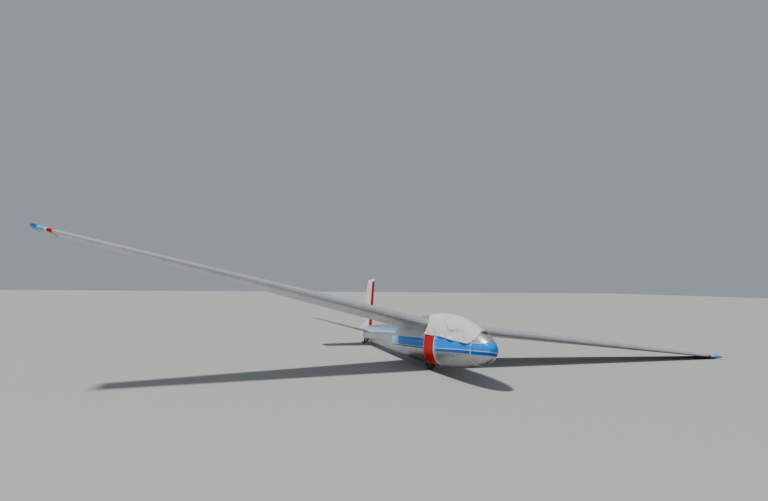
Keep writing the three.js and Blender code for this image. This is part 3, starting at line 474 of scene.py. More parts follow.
def mixNode(tree, kind, *values):  # the factor, what is there at 0 and what is there at 1
    node = tree.nodes.new("ShaderNodeMix")
    node.data_type = kind
    for key, value in zip(("Factor", "A", "B"), values):
        feed(tree, node.inputs[key], value)
    return node.outputs["Result"]


def mixColour(tree, factor, a, b):
    return mixNode(tree, "RGBA", factor, a, b)


def bumpInto(tree, shader, height, strength, distance):
    bump = tree.nodes.new("ShaderNodeBump")
    bump.inputs["Strength"].default_value = strength
    bump.inputs["Distance"].default_value = distance
    tree.links.new(height, bump.inputs["Height"])
    tree.links.new(bump.outputs["Normal"], shader.inputs["Normal"])


def chain(tree, operation, *values):  # the operation on two values, then on its result and the next, and so on
    whole = values[0]
    for value in values[1:]:
        whole = mathNode(tree, operation, whole, value)
    return whole


def product(tree, *values):
    return chain(tree, "MULTIPLY", *values)


def nearestOf(tree, value, places):  # distance from the value to the nearest of some places
    gaps = [mathNode(tree, "ABSOLUTE", mathNode(tree, "SUBTRACT", value, place)) for place in places]
    return chain(tree, "MINIMUM", *gaps)


def tableNode(tree, value, places):  # straight lines through (value, result) places
    whole = places[0][1]
    for (x, y), (nextX, nextY) in zip(places[:-1], places[1:]):
        whole = mathNode(tree, "ADD", rampNode(tree, value, x, nextX, 0.0, nextY - y), whole)
    return whole


# The belly's dark grey tone stands partly for grime and partly for painted shade.
colours = {
    "metal": (0.66, 0.67, 0.69), "dullMetal": (0.50, 0.51, 0.53), "blue": (0.002, 0.245, 0.860),
    "darkBlue": (0.004, 0.120, 0.500), "lightBlue": (0.16, 0.56, 0.90), "red": (0.54, 0.000, 0.001),
    "white": (0.82, 0.83, 0.84), "darkRed": (0.36, 0.001, 0.016), "grimeAndShade": (0.15, 0.15, 0.14),
    "paleBlue": (0.40, 0.62, 0.84), "fadedLight": (0.60, 0.64, 0.76), "upperDark": (0.10, 0.34, 0.62),
    "fadedDark": (0.42, 0.50, 0.66),
}

# Painted bands on the fuselage: heights along the distance aft, and where the bands that go round start and end
bands = {
    "top": ((0.00, 0.150), (0.10, 0.130), (0.15, 0.097), (0.26, 0.082), (0.52, 0.080), (0.80, 0.26), (1.90, 0.34),
            (2.40, 0.34), (2.44, 0.090), (4.60, 0.098)),
    "pin": ((0.02, -0.045), (0.18, -0.054), (0.41, -0.060), (0.77, -0.065), (1.15, -0.078), (1.60, -0.090),
            (2.44, -0.103), (4.60, -0.100)),
    "low": ((0.04, -0.111), (0.19, -0.124), (0.44, -0.128), (0.77, -0.130), (1.16, -0.140), (1.75, -0.160),
            (2.40, -0.160), (2.44, -0.138), (4.60, -0.130)),
    "pinHalf": 0.0048, "topLine": 0.010, "topSpan": (0.16, 0.60), "rearLine": 0.012, "rearHalf": 0.004,
    "rearFrom": (2.5, 2.502), "fade": (4.02, 4.62), "red": (1.945, 2.440), "redEdge": 0.030, "soft": 0.0015,
    "upper": (0.168, 0.225, 0.295), "upperStart": 4.42, "upperPale": 7.4,
}
rivet = {"pitch": 0.032, "off": 0.011, "half": 0.0022}


# Masks from the distance to a seam: the seam itself, and a row of rivet heads on each side, stepped along it.
def seamMasks(tree, distance, along):
    groove = rampNode(tree, distance, 0.0020, 0.0004)
    beside = mathNode(tree, "ABSOLUTE", mathNode(tree, "SUBTRACT", distance, rivet["off"]))
    step = mathNode(tree, "PINGPONG", along, rivet["pitch"] / 2)
    apart = mathNode(tree, "MAXIMUM", beside, step)
    return groove, rampNode(tree, apart, rivet["half"] + 0.0005, rivet["half"] - 0.0005)


def scaled(colour, share):
    return tuple(share * part for part in colour)


sheet = {
    "seamTint": (0.05, 0.05, 0.055), "headTint": (0.10, 0.10, 0.105), "grimeAndShadeShare": 0.72, "paintSpecular": 0.12,
    "bump": (0.45, 0.006),
}


# Dulled bare sheet: streaked grey colour, soft dents, dark seams with rivet rows beside them, and a belly darkened
# partly by grime and partly by painted shade.
# paint(tree, aft, across, height) gives pairs of mask and colour laid over the metal.
def metalSkin(name, paint=None, seams=(), spanSeams=(), bare=0.9):
    material, tree, shader = newMaterial(name)
    place, aft, across, height = airframeSockets(tree)
    cloud = noiseNode(tree, place, 2.6, 5.0, 0.6)
    streak = noiseNode(tree, place, 9.0, 3.0, 0.55, (1.0, 5.0, 5.0))
    fine = noiseNode(tree, place, 260.0, 2.0, 0.5)
    worn = mathNode(tree, "ADD", product(tree, cloud, 0.65), product(tree, streak, 0.35))
    colour = mixColour(tree, rampNode(tree, worn, 0.35, 0.68), colours["dullMetal"], colours["metal"])
    if seams:
        # Darker from the waist down towards the belly: partly grime, partly painted shade.
        low = rampNode(tree, mathNode(tree, "ADD", height, product(tree, streak, 0.12)), -0.02, -0.30)
        colour = mixColour(tree, product(tree, low, sheet["grimeAndShadeShare"]), colour, colours["grimeAndShade"])
    masks = []
    for mask, tint in paint(tree, aft, across, height) if paint else ():
        if isinstance(tint, tuple):
            tint = mixColour(tree, rampNode(tree, cloud, 0.3, 0.75), scaled(tint, 0.86), tint)
        colour = mixColour(tree, mask, colour, tint)
        masks.append(mask)
    groove = None
    if seams:
        girth = product(tree, mathNode(tree, "ARCTAN2", across, mathNode(tree, "ADD", height, 0.05)), 0.33)
        groove, heads = seamMasks(tree, nearestOf(tree, aft, seams), girth)
    if spanSeams:
        groove, heads = seamMasks(tree, nearestOf(tree, mathNode(tree, "ABSOLUTE", across), spanSeams), aft)
    if groove:
        colour = mixColour(tree, product(tree, groove, 0.75), colour, sheet["seamTint"])
        colour = mixColour(tree, product(tree, heads, 0.3), colour, sheet["headTint"])
    rough = rampNode(tree, worn, 0.3, 0.7, 0.46, 0.30)
    if masks:
        painted = chain(tree, "MAXIMUM", *masks)
        rough = mixNode(tree, "FLOAT", painted, rough, rampNode(tree, cloud, 0.3, 0.7, 0.36, 0.26))
        setShader(tree, shader, metallic=rampNode(tree, painted, 0.0, 1.0, bare, 0.0),
                  specular=rampNode(tree, painted, 0.0, 1.0, 0.5, sheet["paintSpecular"]))
    else:
        setShader(tree, shader, metallic=bare)
    setShader(tree, shader, colour=colour, roughness=rough)
    dents = noiseNode(tree, place, 3.3, 2.0, 0.4, (1.0, 1.6, 1.6))
    relief = mathNode(tree, "ADD", dents, product(tree, fine, 0.02))
    if groove:
        relief = mathNode(tree, "SUBTRACT", relief, product(tree, groove, 0.25))
        relief = mathNode(tree, "ADD", relief, product(tree, heads, 0.15))
    bumpInto(tree, shader, relief, *sheet["bump"])
    return material


# Blue side band with a white pin stripe, darker blue below it, a red band round the waist, a light band aft
def fuselagePaint(tree, aft, across, height):
    top, pin, low = (tableNode(tree, aft, bands[name]) for name in ("top", "pin", "low"))
    soft, fadeEnd = bands["soft"], bands["fade"][1]
    underTop = rampNode(tree, mathNode(tree, "SUBTRACT", top, height), -soft, soft)
    overLow = rampNode(tree, mathNode(tree, "SUBTRACT", height, low), -soft, soft)
    fromPin = mathNode(tree, "SUBTRACT", height, pin)
    ahead = mathNode(tree, "SUBTRACT", 1.0, rampNode(tree, aft, fadeEnd - 0.002, fadeEnd + 0.002))
    side = product(tree, underTop, overLow, ahead)
    below = mathNode(tree, "SUBTRACT", 1.0, rampNode(tree, fromPin, -soft, soft))
    tail = mixColour(tree, rampNode(tree, aft, *bands["fade"]), colours["blue"], colours["paleBlue"])
    pinLine = product(tree, between(tree, fromPin, -bands["pinHalf"], bands["pinHalf"]), ahead)
    rearLow, rearHigh = bands["rearLine"] - bands["rearHalf"], bands["rearLine"] + bands["rearHalf"]
    rearLine = product(tree, between(tree, height, rearLow, rearHigh), ahead,
                       rampNode(tree, aft, *bands["rearFrom"]))
    topLine = product(tree, between(tree, mathNode(tree, "SUBTRACT", height, top), 0.0, bands["topLine"]),
                      between(tree, aft, *bands["topSpan"]))
    behind = rampNode(tree, aft, bands["upperStart"] - 0.003, bands["upperStart"] + 0.003)
    lowUpper, middleUpper, highUpper = bands["upper"]
    faded = rampNode(tree, aft, bands["upperStart"], bands["upperPale"])
    upperLight = mixColour(tree, faded, colours["lightBlue"], colours["fadedLight"])
    upperDark = mixColour(tree, faded, colours["upperDark"], colours["fadedDark"])
    redStart, redEnd = bands["red"]
    return [
        (product(tree, between(tree, height, lowUpper, middleUpper), behind), upperLight),
        (product(tree, between(tree, height, middleUpper, highUpper), behind), upperDark),
        (side, tail), (product(tree, side, below), colours["darkBlue"]), (pinLine, colours["white"]),
        (rearLine, colours["paleBlue"]), (topLine, colours["white"]),
        (between(tree, aft, redStart - bands["redEdge"], redStart), colours["white"]),
        (between(tree, aft, redStart, redEnd), colours["red"]),
    ]


tipBands = {"red": (7.760, 7.850), "white": (7.850, 7.885), "lightBlue": (7.885, 8.2)}


# Bands round the wing's end: red, white and light blue going outwards.
def wingPaint(tree, aft, across, height):
    out = mathNode(tree, "ABSOLUTE", across)
    return [(between(tree, out, *ends), colours[tint]) for tint, ends in tipBands.items()]


# Heights of the fin's paint, the aft place of its patch, and its leading edge as two heights and their aft places
finPaint = {
    "everywhere": (-1.0, -0.9), "horn": (1.628, 1.632), "cap": (1.786, 1.790), "patch": (0.445, 0.545),
    "patchAft": (7.84, 7.85), "lead": (-0.02, 1.85, 7.179, 7.700), "stripe": 0.125, "stripeEdge": 0.022,
    "ground": (0.74, 0.72, 0.75), "hornTint": (0.86, 0.87, 0.86), "capTint": (0.90, 0.90, 0.90),
    "edgeTint": (0.90, 0.88, 0.89),
}


# Pale fin and horn, a light patch low on the rudder, a dark red stripe with a white edge behind the leading edge.
def tailPaint(tree, aft, across, height):
    behind = mathNode(tree, "SUBTRACT", aft, rampNode(tree, height, *finPaint["lead"]))
    horn, cap = (rampNode(tree, height, *finPaint[name]) for name in ("horn", "cap"))
    patch = product(tree, between(tree, height, *finPaint["patch"]), rampNode(tree, aft, *finPaint["patchAft"]))
    everywhere = rampNode(tree, height, *finPaint["everywhere"])
    width = finPaint["stripe"]
    return [
        (everywhere, finPaint["ground"]), (horn, finPaint["hornTint"]), (patch, colours["lightBlue"]),
        (between(tree, behind, width, width + finPaint["stripeEdge"]), finPaint["edgeTint"]),
        (between(tree, behind, -0.1, width), colours["darkRed"]), (cap, finPaint["capTint"]),
    ]


# A finish in two tints: a cloud noise leads from one to the other and between two roughnesses, and the relief,
# a function of (tree, place), is bumped in.
def cloudedFinish(name, tints, cloud, edges, rough, relief, bump, **values):
    material, tree, shader = newMaterial(name)
    place = airframeSockets(tree)[0]
    mask = noiseNode(tree, place, *cloud)
    setShader(tree, shader, colour=mixColour(tree, rampNode(tree, mask, *edges), *tints),
              roughness=rampNode(tree, mask, 0.3, 0.7, *rough), **values)
    bumpInto(tree, shader, relief(tree, place), *bump)
    return material


def fineNoise(*settings):
    return lambda tree, place: noiseNode(tree, place, *settings)


def leatherCells(tree, place):  # small cells with soft creases
    cells = tree.nodes.new("ShaderNodeTexVoronoi")
    cells.feature = "SMOOTH_F1"
    cells.inputs["Scale"].default_value = 260.0
    tree.links.new(place, cells.inputs["Vector"])
    return cells.outputs["Distance"]


# Plain gloss paint with faint clouding and orange peel.
def paintFinish(name, colour, roughness=0.35):
    return cloudedFinish(name, (scaled(colour, 0.86), colour), (7.0, 5.0, 0.6), (0.3, 0.7),
                         (roughness + 0.1, roughness), fineNoise(180.0, 2.0, 0.5), (0.06, 0.001))


# Machined or worn metal: fine drawn lines and grimy patches.
def steelFinish(name, colour, roughness=0.4, metallic=0.85, scratch=0.3):
    return cloudedFinish(name, (scaled(colour, 0.55), colour), (14.0, 6.0, 0.65), (0.32, 0.7),
                         (roughness + 0.18, roughness), fineNoise(60.0, 3.0, 0.6, (1.0, 9.0, 1.0)),
                         (scratch, 0.0006), metallic=metallic)


# Dull rubber, dusty in patches.
def rubberFinish(name, colour=(0.022, 0.022, 0.024)):
    return cloudedFinish(name, (colour, (0.11, 0.10, 0.085)), (22.0, 6.0, 0.65), (0.42, 0.75), (0.72, 0.88),
                         fineNoise(420.0, 2.0, 0.5), (0.25, 0.0006))


# Leather, darker in patches.
def leatherFinish(name, colour):
    return cloudedFinish(name, (scaled(colour, 0.6), colour), (11.0, 6.0, 0.6), (0.3, 0.72), (0.55, 0.42),
                         leatherCells, (0.4, 0.0012))


# Woven cloth: two crossed waves of threads on the piece's own UV map, in metres, and faint stains.
def clothFinish(name, colour, pitch=0.0016, roughness=0.85):
    material, tree, shader = newMaterial(name)
    uv = tree.nodes.new("ShaderNodeUVMap")
    uv.uv_map = "weave"
    waves = []
    for turn in (0.0, math.pi / 2):
        mapping = tree.nodes.new("ShaderNodeMapping")
        mapping.inputs["Rotation"].default_value = (0, 0, turn)
        tree.links.new(uv.outputs["UV"], mapping.inputs["Vector"])
        wave = tree.nodes.new("ShaderNodeTexWave")
        wave.inputs["Scale"].default_value = 0.31 / pitch
        wave.inputs["Distortion"].default_value = 0.6
        tree.links.new(mapping.outputs["Vector"], wave.inputs["Vector"])
        waves.append(wave.outputs["Fac"])
    weave = mathNode(tree, "MULTIPLY", waves[0], waves[1])
    place = airframeSockets(tree)[0]
    stain = noiseNode(tree, place, 4.0, 6.0, 0.6)
    shade = mixColour(tree, rampNode(tree, stain, 0.35, 0.7), scaled(colour, 0.84), colour)
    thread = mixColour(tree, product(tree, weave, 0.35), shade, tuple(min(1, 1.12 * c) for c in colour))
    setShader(tree, shader, colour=thread, roughness=rampNode(tree, stain, 0.3, 0.7, roughness, roughness - 0.08),
              sheen=0.15, sheenRoughness=0.5)
    bumpInto(tree, shader, weave, 0.35, 0.0008)
    return material


# Aged clear acrylic with faint haze.
def glassFinish(name):
    material, tree, shader = newMaterial(name)
    place = airframeSockets(tree)[0]
    haze = noiseNode(tree, place, 18.0, 4.0, 0.6)
    setShader(tree, shader, roughness=rampNode(tree, haze, 0.35, 0.75, 0.03, 0.11), colour=(0.90, 0.95, 0.96),
              transmission=1.0, ior=1.49)
    return material


skinSeams = {
    "nose": (0.12, 0.357), "front": (0.36, 0.62, 1.05, 1.50, 1.95, 2.398),
    "centre": (2.402, 2.85, 3.30, 3.80, 4.298), "tail": (4.302, 4.75, 5.20, 5.65, 6.10, 6.55, 7.00, 7.40, 7.75),
    "wing": (0.46, 0.92, 1.38, 1.84, 2.30, 2.76, 3.22, 3.68, 4.14, 4.49, 4.95, 5.41, 5.87, 6.33, 6.79, 7.25, 7.72),
    "tailplane": (0.24, 0.48, 0.72, 0.96, 1.20, 1.44),
}
hullSeams = skinSeams["nose"] + skinSeams["front"] + skinSeams["centre"] + skinSeams["tail"]
fuselageSkin = metalSkin("fuselageSkin", fuselagePaint, seams=hullSeams)
wingSkin = metalSkin("wingSkin", wingPaint, spanSeams=skinSeams["wing"], bare=0.55)
tailplaneSkin = metalSkin("tailplaneSkin", None, spanSeams=skinSeams["tailplane"], bare=0.4)
finSkin = metalSkin("finSkin", tailPaint)
innerSkin = paintFinish("innerPrimer", (0.30, 0.33, 0.27), 0.6)
tipPaint = paintFinish("tipPaint", colours["blue"], 0.3)
framePaint = paintFinish("framePaint", (0.72, 0.72, 0.71), 0.4)
gearPaint = steelFinish("gearPaint", (0.14, 0.145, 0.155), 0.5, 0.5)
brightSteel = steelFinish("brightSteel", (0.55, 0.55, 0.57), 0.32, 0.95)
darkTrim = paintFinish("darkTrim", (0.03, 0.03, 0.034), 0.55)
tyreRubber = rubberFinish("tyreRubber")
bufferRubber = rubberFinish("bufferRubber", (0.03, 0.028, 0.026))
coverCloth = clothFinish("coverCloth", (0.66, 0.66, 0.65))
strapWebbing = clothFinish("strapWebbing", (0.50, 0.53, 0.52), 0.003)
seatLeather = leatherFinish("seatLeather", (0.23, 0.12, 0.06))
clearAcrylic = glassFinish("clearAcrylic")
print("finishes ready")


# Fuselage shells

def hullRings(stations, columns=96, grow=0.0):
    angle = (np.arange(columns) + 0.5) * 2 * np.pi / columns
    return hullPoint(np.asarray(stations)[:, None], angle[None, :], grow)


# The round nose: rings at equal steps of the square root of the distance aft.
def addNoseCap():
    stations = np.linspace(0.02, math.sqrt(hull["noseJoint"]), 34) ** 2
    rings = hullRings(stations)
    addPiece("noseCap", [tubePart(rings)], fuselageSkin, nodes=("nose_cap",))


# Tub below the sill line, deck ahead of the windscreen and roof strip behind, 20 mm thick, with bulkheads.
def addFrontShell():
    gap, endAft = canopy["endGap"], hull["frontJoint"]
    deckRows, overColumns, belowColumns = 14, 49, 97
    openFrom, openTo = canopy["front"] - gap, canopy["rear"] + gap
    startAft = hull["noseJoint"] + hull["seam"]
    stations = np.concatenate((
        np.linspace(startAft, openFrom, deckRows),
        np.linspace(openFrom, openTo, 90)[1:],
        np.linspace(openTo, endAft, 4)[1:],
    ))
    sillAngle = angleAtHeight(stations, sillHeight(stations))
    below = spread(sillAngle, -np.pi - sillAngle, belowColumns).T
    parts = [sheetPart(hullPoint(stations[:, None], below))]
    # deck: its rear edge follows the leaning windscreen foot
    deckStations = stations[:deckRows]
    over = spread(sillAngle[:deckRows], np.pi - sillAngle[:deckRows], overColumns).T
    edgeAngle = over[-1]
    edgeAft = leaningAft(openFrom, canopy["lean"], edgeAngle)
    share = (deckStations - startAft) / (openFrom - startAft)
    deckAft = startAft + share[:, None] * (edgeAft[None, :] - startAft)
    parts.append(sheetPart(hullPoint(deckAft, over)))
    roofStations = stations[-4:]
    roof = spread(sillAngle[-4:], np.pi - sillAngle[-4:], overColumns).T
    parts.append(sheetPart(hullPoint(roofStations[:, None], roof)))
    turnOutwards(addPiece("frontShell", parts, [fuselageSkin, innerSkin], nodes=("fuselage_front",),
                          thickness=hull["wall"], closed=False))
    bulkheads = [tubePart(hullRings(ends, grow=-0.0202))
                 for ends in ((startAft, startAft + 0.018), (endAft - 0.018, endAft))]
    addPiece("frontBulkheads", bulkheads, innerSkin, nodes=("fuselage_front",))


# Turns an open skin's faces away from the middle of the fuselage.
def turnOutwards(piece):
    mesh = piece.data
    centre = Vector(parked([(-1.4, 0, 0)])[0])
    work = bmesh.new()
    work.from_mesh(mesh)
    bmesh.ops.recalc_face_normals(work, faces=work.faces)
    outward = sum((face.normal.dot(face.calc_center_median() - centre) > 0) - 0.5 for face in work.faces)
    if outward < 0:
        bmesh.ops.reverse_faces(work, faces=work.faces)
    work.to_mesh(mesh)
    work.free()


well = {"front": 2.428, "rear": 2.812, "half": 0.108, "roof": -0.160}


# Closed middle section. Its rings have lines at the wheel well's edges; the well's walls hang from them.
def addCentreShell():
    startAft, endAft = hull["frontJoint"] + hull["seam"], hull["rearJoint"]
    stations = np.concatenate((
        np.linspace(startAft, well["front"], 3), np.linspace(well["front"], well["rear"], 12)[1:],
        np.linspace(well["rear"], endAft, 40)[1:],
    ))
    edge = angleAtWidth(stations, well["half"])
    belly = spread(edge, -np.pi - edge, 17).T[:, ::-1]
    side = spread(-np.pi - edge, edge - 2 * np.pi, 81).T[:, 1:-1]
    angles = np.concatenate((belly, side), axis=1)
    rings = hullPoint(stations[:, None], angles)
    rows, columns = rings.shape[:2]
    faces = gridFaces(rows, columns, closed=True)
    cell = np.arange(len(faces))
    row, column = cell // columns, cell % columns
    inWell = (row >= 2) & (row < 13) & (column < 16)
    points = rings.reshape(-1, 3)
    parts = [(points, [faces[~inWell]])]
    roofed = rings[2:14, :17].copy()
    roofed[..., 2] = well["roof"]
    parts.append((roofed.reshape(-1, 3), [gridFaces(12, 17)], 1))
    rim = np.concatenate((rings[2:14, 0], rings[13, 1:17], rings[2:13, 16][::-1], rings[2, 1:16][::-1]))
    top = rim.copy()
    top[:, 2] = well["roof"]
    parts.append((np.concatenate((rim, top)), [gridFaces(2, len(rim), closed=True)], 1))
    for end in (0, rows - 1):
        middle = rings[end].mean(axis=0)
        parts.append((np.vstack((rings[end], middle)), [fanFaces(np.arange(columns), columns)]))
    addPiece("centreShell", parts, [fuselageSkin, innerSkin], nodes=("fuselage_centre",))


rudderHinge = {"aft": 7.860, "hollow": 0.0545}


# Tapering rear shell; its stern is hollowed for the rudder's round nose.
def addTailCone():
    stations = np.linspace(hull["rearJoint"] + hull["seam"], hull["stern"], 90)
    rings = hullRings(stations)
    last = rings[-1]
    middle = last[:, 2].mean()
    cap = []
    for share in np.linspace(1, 0.04, 14):
        ring = last.copy()
        ring[:, 1] = last[:, 1] * share
        ring[:, 2] = middle + (last[:, 2] - middle) * share
        reach = np.sqrt(np.maximum(rudderHinge["hollow"] ** 2 - ring[:, 1] ** 2, 0))
        ring[:, 0] = -np.minimum(hull["stern"], rudderHinge["aft"] - reach)
        cap.append(ring)
    rings = np.concatenate((rings, np.array(cap)[1:]))
    addPiece("tailCone", [tubePart(rings)], fuselageSkin, nodes=("tail_cone",))


addNoseCap()
addFrontShell()
addCentreShell()
addTailCone()
print("fuselage made")


# Wing and tail panels

wing = {
    "halfSpan": 8.100, "lead": 2.496, "height": 0.420, "rootChord": 1.720, "tipChord": 0.640, "quarterSweep": 4.8,
    "dihedral": 3.17, "rootTwist": 4.0, "tipTwist": 1.0, "rootThickness": 0.15, "tipThickness": 0.12,
    "camber": 0.033, "end": 8.050,
}
aileron = {"inner": 4.560, "outer": 7.760, "hinge": 0.75, "brackets": (0.2, 0.8)}
flap = {"inner": 0.460, "outer": 4.420, "nose": 0.71, "slant": 0.55, "gap": 0.008}
airbrake = {"inner": 2.900, "outer": 4.100, "upper": 0.42, "lower": 0.50, "half": 0.007, "depth": 0.055,
            "endGap": 0.009}
tipBody = {"length": 0.780, "radius": 0.050, "nose": 0.090, "drop": 0.006}
tailplane = {"lead": 7.160, "height": 0.185, "rootChord": 0.930, "tipChord": 0.580, "sweepBack": 0.200,
             "rise": 0.135, "half": 1.750, "clearAft": 7.760}
elevator = {"inner": 0.115, "hinge": (0.560, 0.552), "brackets": (0.12, 0.78)}
fin = {"base": -0.020, "top": 1.850, "baseLead": 7.179, "topLead": 7.700, "baseChord": 1.221, "topChord": 0.640,
       "foot": 0.300, "hornBottom": 1.650, "hornGap": 0.010, "brackets": (0.3, 0.8)}
heel = {"start": 7.900, "end": 8.440, "low": -0.022, "high": 0.076}  # the rudder's foot rises aft
surfaceGap, endGap = 0.006, 0.008
skinInset = 0.0005  # round noses stay this far inside the skins
tipRound = 0.022
rearCells, noseCells = 9, 18  # of a fixed surface's ring, on each side
rearPoints, nosePoints = 22, 13  # of a hinged surface's ring


def section(lead, chord, thickness, camber=0.0, twist=0.0, upright=False):
    return {"lead": np.array(lead), "chord": chord, "thickness": thickness, "camber": camber,
            "twist": math.radians(twist), "upright": upright}


def wingPanel(side):
    quarter = wing["lead"] + wing["rootChord"] / 4
    tipQuarter = quarter - wing["halfSpan"] * math.tan(math.radians(wing["quarterSweep"]))
    tipHeight = wing["height"] + wing["halfSpan"] * math.tan(math.radians(wing["dihedral"]))
    root = (-wing["lead"], 0.0, wing["height"])
    tip = (-(tipQuarter - wing["tipChord"] / 4), side * wing["halfSpan"], tipHeight)
    return (
        section(root, wing["rootChord"], wing["rootThickness"], wing["camber"], wing["rootTwist"]),
        section(tip, wing["tipChord"], wing["tipThickness"], wing["camber"], wing["tipTwist"]),
    )


def tailPanel(side):
    root = (-tailplane["lead"], 0.0, tailplane["height"])
    tipAft = tailplane["lead"] + tailplane["sweepBack"]
    tip = (-tipAft, side * tailplane["half"], tailplane["height"] + tailplane["rise"])
    return section(root, tailplane["rootChord"], 0.11), section(tip, tailplane["tipChord"], 0.10)


def finPanel():
    return (
        section((-fin["baseLead"], 0.0, fin["base"]), fin["baseChord"], 0.10, upright=True),
        section((-fin["topLead"], 0.0, fin["top"]), fin["topChord"], 0.095, upright=True),
    )


# Half thickness is the four-digit formula; the mean line is 4 c u (1 - u); level -1..1 goes from skin to skin.
def sectionPoint(end, u, level):
    thick = 5 * end["thickness"] * (
        0.2969 * np.sqrt(u) - 0.126 * u - 0.3516 * u ** 2 + 0.2843 * u ** 3 - 0.1036 * u ** 4
    )
    half = np.maximum(end["chord"] * thick, 0.002)
    off = end["chord"] * end["camber"] * 4 * u * (1 - u) + level * half
    along = u * end["chord"]
    aft = along * math.cos(end["twist"]) + off * math.sin(end["twist"])
    rise = off * math.cos(end["twist"]) - along * math.sin(end["twist"])
    flat = np.zeros_like(rise)
    parts = (-aft, rise, flat) if end["upright"] else (-aft, flat, rise)
    return np.stack(parts, axis=-1) + end["lead"]


# Straight lines from the root section to the tip section.
def panelPoint(panel, share, u, level):
    share, u, level = np.broadcast_arrays(*(np.asarray(v, float) for v in (share, u, level)))
    root, tip = sectionPoint(panel[0], u, level), sectionPoint(panel[1], u, level)
    return root + share[..., None] * (tip - root)


# Chord shares from 0 to 1 that crowd at the leading edge.
def nearLead(count):
    return (1 - np.cos(np.linspace(0, np.pi / 2, count))) ** 1.15


# Middle of the section on the hinge line, its half thickness there and its chord.
def sectionHinge(panel, share, hingeU):
    middle = panelPoint(panel, share, hingeU, 0)
    half = np.linalg.norm(panelPoint(panel, share, hingeU, 1) - panelPoint(panel, share, hingeU, -1)) / 2
    chord = panel[0]["chord"] + share * (panel[1]["chord"] - panel[0]["chord"])
    return middle, half, chord


# One ring of a fixed surface: upper skin from the trailing edge to the nose, then the lower skin back.
# kind full keeps the whole section; slant, round and flat end it in a wall instead, whose points are those
# of the cut-off rear. skew moves what is behind the cut outwards, so that end walls are square to the hinge.
def surfaceRing(panel, share, hingeU, kind, slots=None, skew=0.0, span=1.0, wallAft=None):
    middle, half, chord = sectionHinge(panel, share, hingeU)
    axis = 1 if panel[0]["upright"] else 2
    skins = [panelPoint(panel, share, hingeU, level)[axis] - middle[axis] for level in (1, -1)]
    radius = half - skinInset + surfaceGap
    if kind == "slant" or (kind == "full" and slots is not None):
        cuts = [hingeU + (flap["slant"] * h - flap["gap"]) / chord for h in skins]
    elif wallAft is not None:
        cuts = [hingeU + (wallAft + middle[0]) / chord] * 2
    else:
        cuts = [hingeU - math.sqrt(max(radius ** 2 - h ** 2, 1e-6)) / chord for h in skins]
    sides = []
    for level, cut in zip((1, -1), cuts):
        slotAt = airbrake["upper" if level > 0 else "lower"] if slots is not None else 0.4
        slotHalf = (airbrake["half"] + surfaceGap) / chord
        us = np.concatenate((
            (slotAt - slotHalf) * nearLead(noseCells), np.linspace(slotAt - slotHalf, slotAt + slotHalf, 4)[1:],
            np.linspace(slotAt + slotHalf, cut, 9)[1:], np.linspace(cut, 1, rearCells + 1)[1:],
        ))
        shares = np.full(len(us), share)
        if skew:
            aft = -panelPoint(panel, share, us, level)[:, 0]
            behind = np.arange(len(us)) >= len(us) - rearCells - 1
            shares = shares + np.where(behind, skew * (aft + middle[0]) / span, 0)
        points = panelPoint(panel, shares, us, level)
        if slots:
            floor = panelPoint(panel, share, us, 0)[:, 2] - level * (airbrake["depth"] + surfaceGap)
            points[noseCells, :] = (*points[noseCells - 1][:2], floor[noseCells - 1])
            points[noseCells + 1, :] = (*points[noseCells + 2][:2], floor[noseCells + 2])
        sides.append(points)
    upper, lower = sides
    ring = np.concatenate((upper[::-1], lower[1:]))
    if kind != "full":
        high, low = upper[-1 - rearCells].copy(), lower[-1 - rearCells].copy()
        step = np.linspace(0, 1, 2 * rearCells + 2)[:, None]
        wall = high + step * (low - high)
        if kind == "round":
            start, end = (math.atan2(p[axis] - middle[axis], p[0] - middle[0]) for p in (high, low))
            sweep = start + step[:, 0] * (end - start)
            wall[:, 0] = middle[0] + radius * np.cos(sweep)
            wall[:, axis] = middle[axis] + radius * np.sin(sweep)
            if skew:
                wall[:, 1] = middle[1] + math.copysign(skew, middle[1]) * (middle[0] - wall[:, 0])
        ring[:rearCells + 1] = wall[:rearCells + 1][::-1]
        ring[-rearCells - 1:] = wall[rearCells + 1:][::-1]
    return ring


# How far the hinge line runs forward for each metre of span.
def hingeSkew(panel, us, span):
    ends = [panelPoint(panel, share, u, 0) for share, u in zip((0, 1), us)]
    return (ends[1][0] - ends[0][0]) / span


# One ring of a hinged surface, square to its hinge: skins behind the hinge line and a round nose before it.
def movingRing(panel, share, hingeU, skew, span, slot, sag):
    middle, half, _ = sectionHinge(panel, share, hingeU)
    axis = 1 if panel[0]["upright"] else 2
    step = np.linspace(0, 1, rearPoints)
    us = hingeU + (1 - hingeU) * step ** 0.9
    window = np.sin(np.pi * step ** 0.8) ** 0.7
    sides = []
    for level in (1, -1):
        flat = panelPoint(panel, share, us, level)
        shares = share + skew * (middle[0] - flat[:, 0]) / span
        points = panelPoint(panel, shares, us, level)
        points[:, axis] -= level * sag * window
        sides.append(points)
    sweep = np.linspace(np.pi / 2, -np.pi / 2, nosePoints)[1:-1]
    radius = half - skinInset
    nose = np.repeat(middle[None, :], len(sweep), axis=0)
    nose[:, 0] += radius * np.cos(sweep)
    nose[:, axis] += radius * np.sin(sweep)
    if not panel[0]["upright"]:
        nose[:, 1] -= math.copysign(skew, middle[1]) * radius * np.cos(sweep)
    ring = np.concatenate((sides[0][::-1], nose, sides[1]))
    if slot:
        ring[:, 0] = np.minimum(ring[:, 0], middle[0] - 0.016)
    return ring


# Rings past the end of a panel: each goes further out and is smaller round the section's middle.
def roundedTip(ring, panel, reach=tipRound, steps=7):
    root, tip = panel
    out = tip["lead"] - root["lead"]
    out[0] = 0
    out /= np.linalg.norm(out)
    middle = panelPoint(panel, 1.0, 0.5, 0)
    rings = []
    for turn in np.linspace(0, math.radians(80), steps)[1:]:
        shrunk = middle + (ring - middle) * (1 - 0.10 * (1 - math.cos(turn)))
        axis = 1 if root["upright"] else 2
        shrunk[:, axis] = middle[axis] + (ring[:, axis] - middle[axis]) * math.cos(turn)
        rings.append(shrunk + out * reach * math.sin(turn))
    return rings


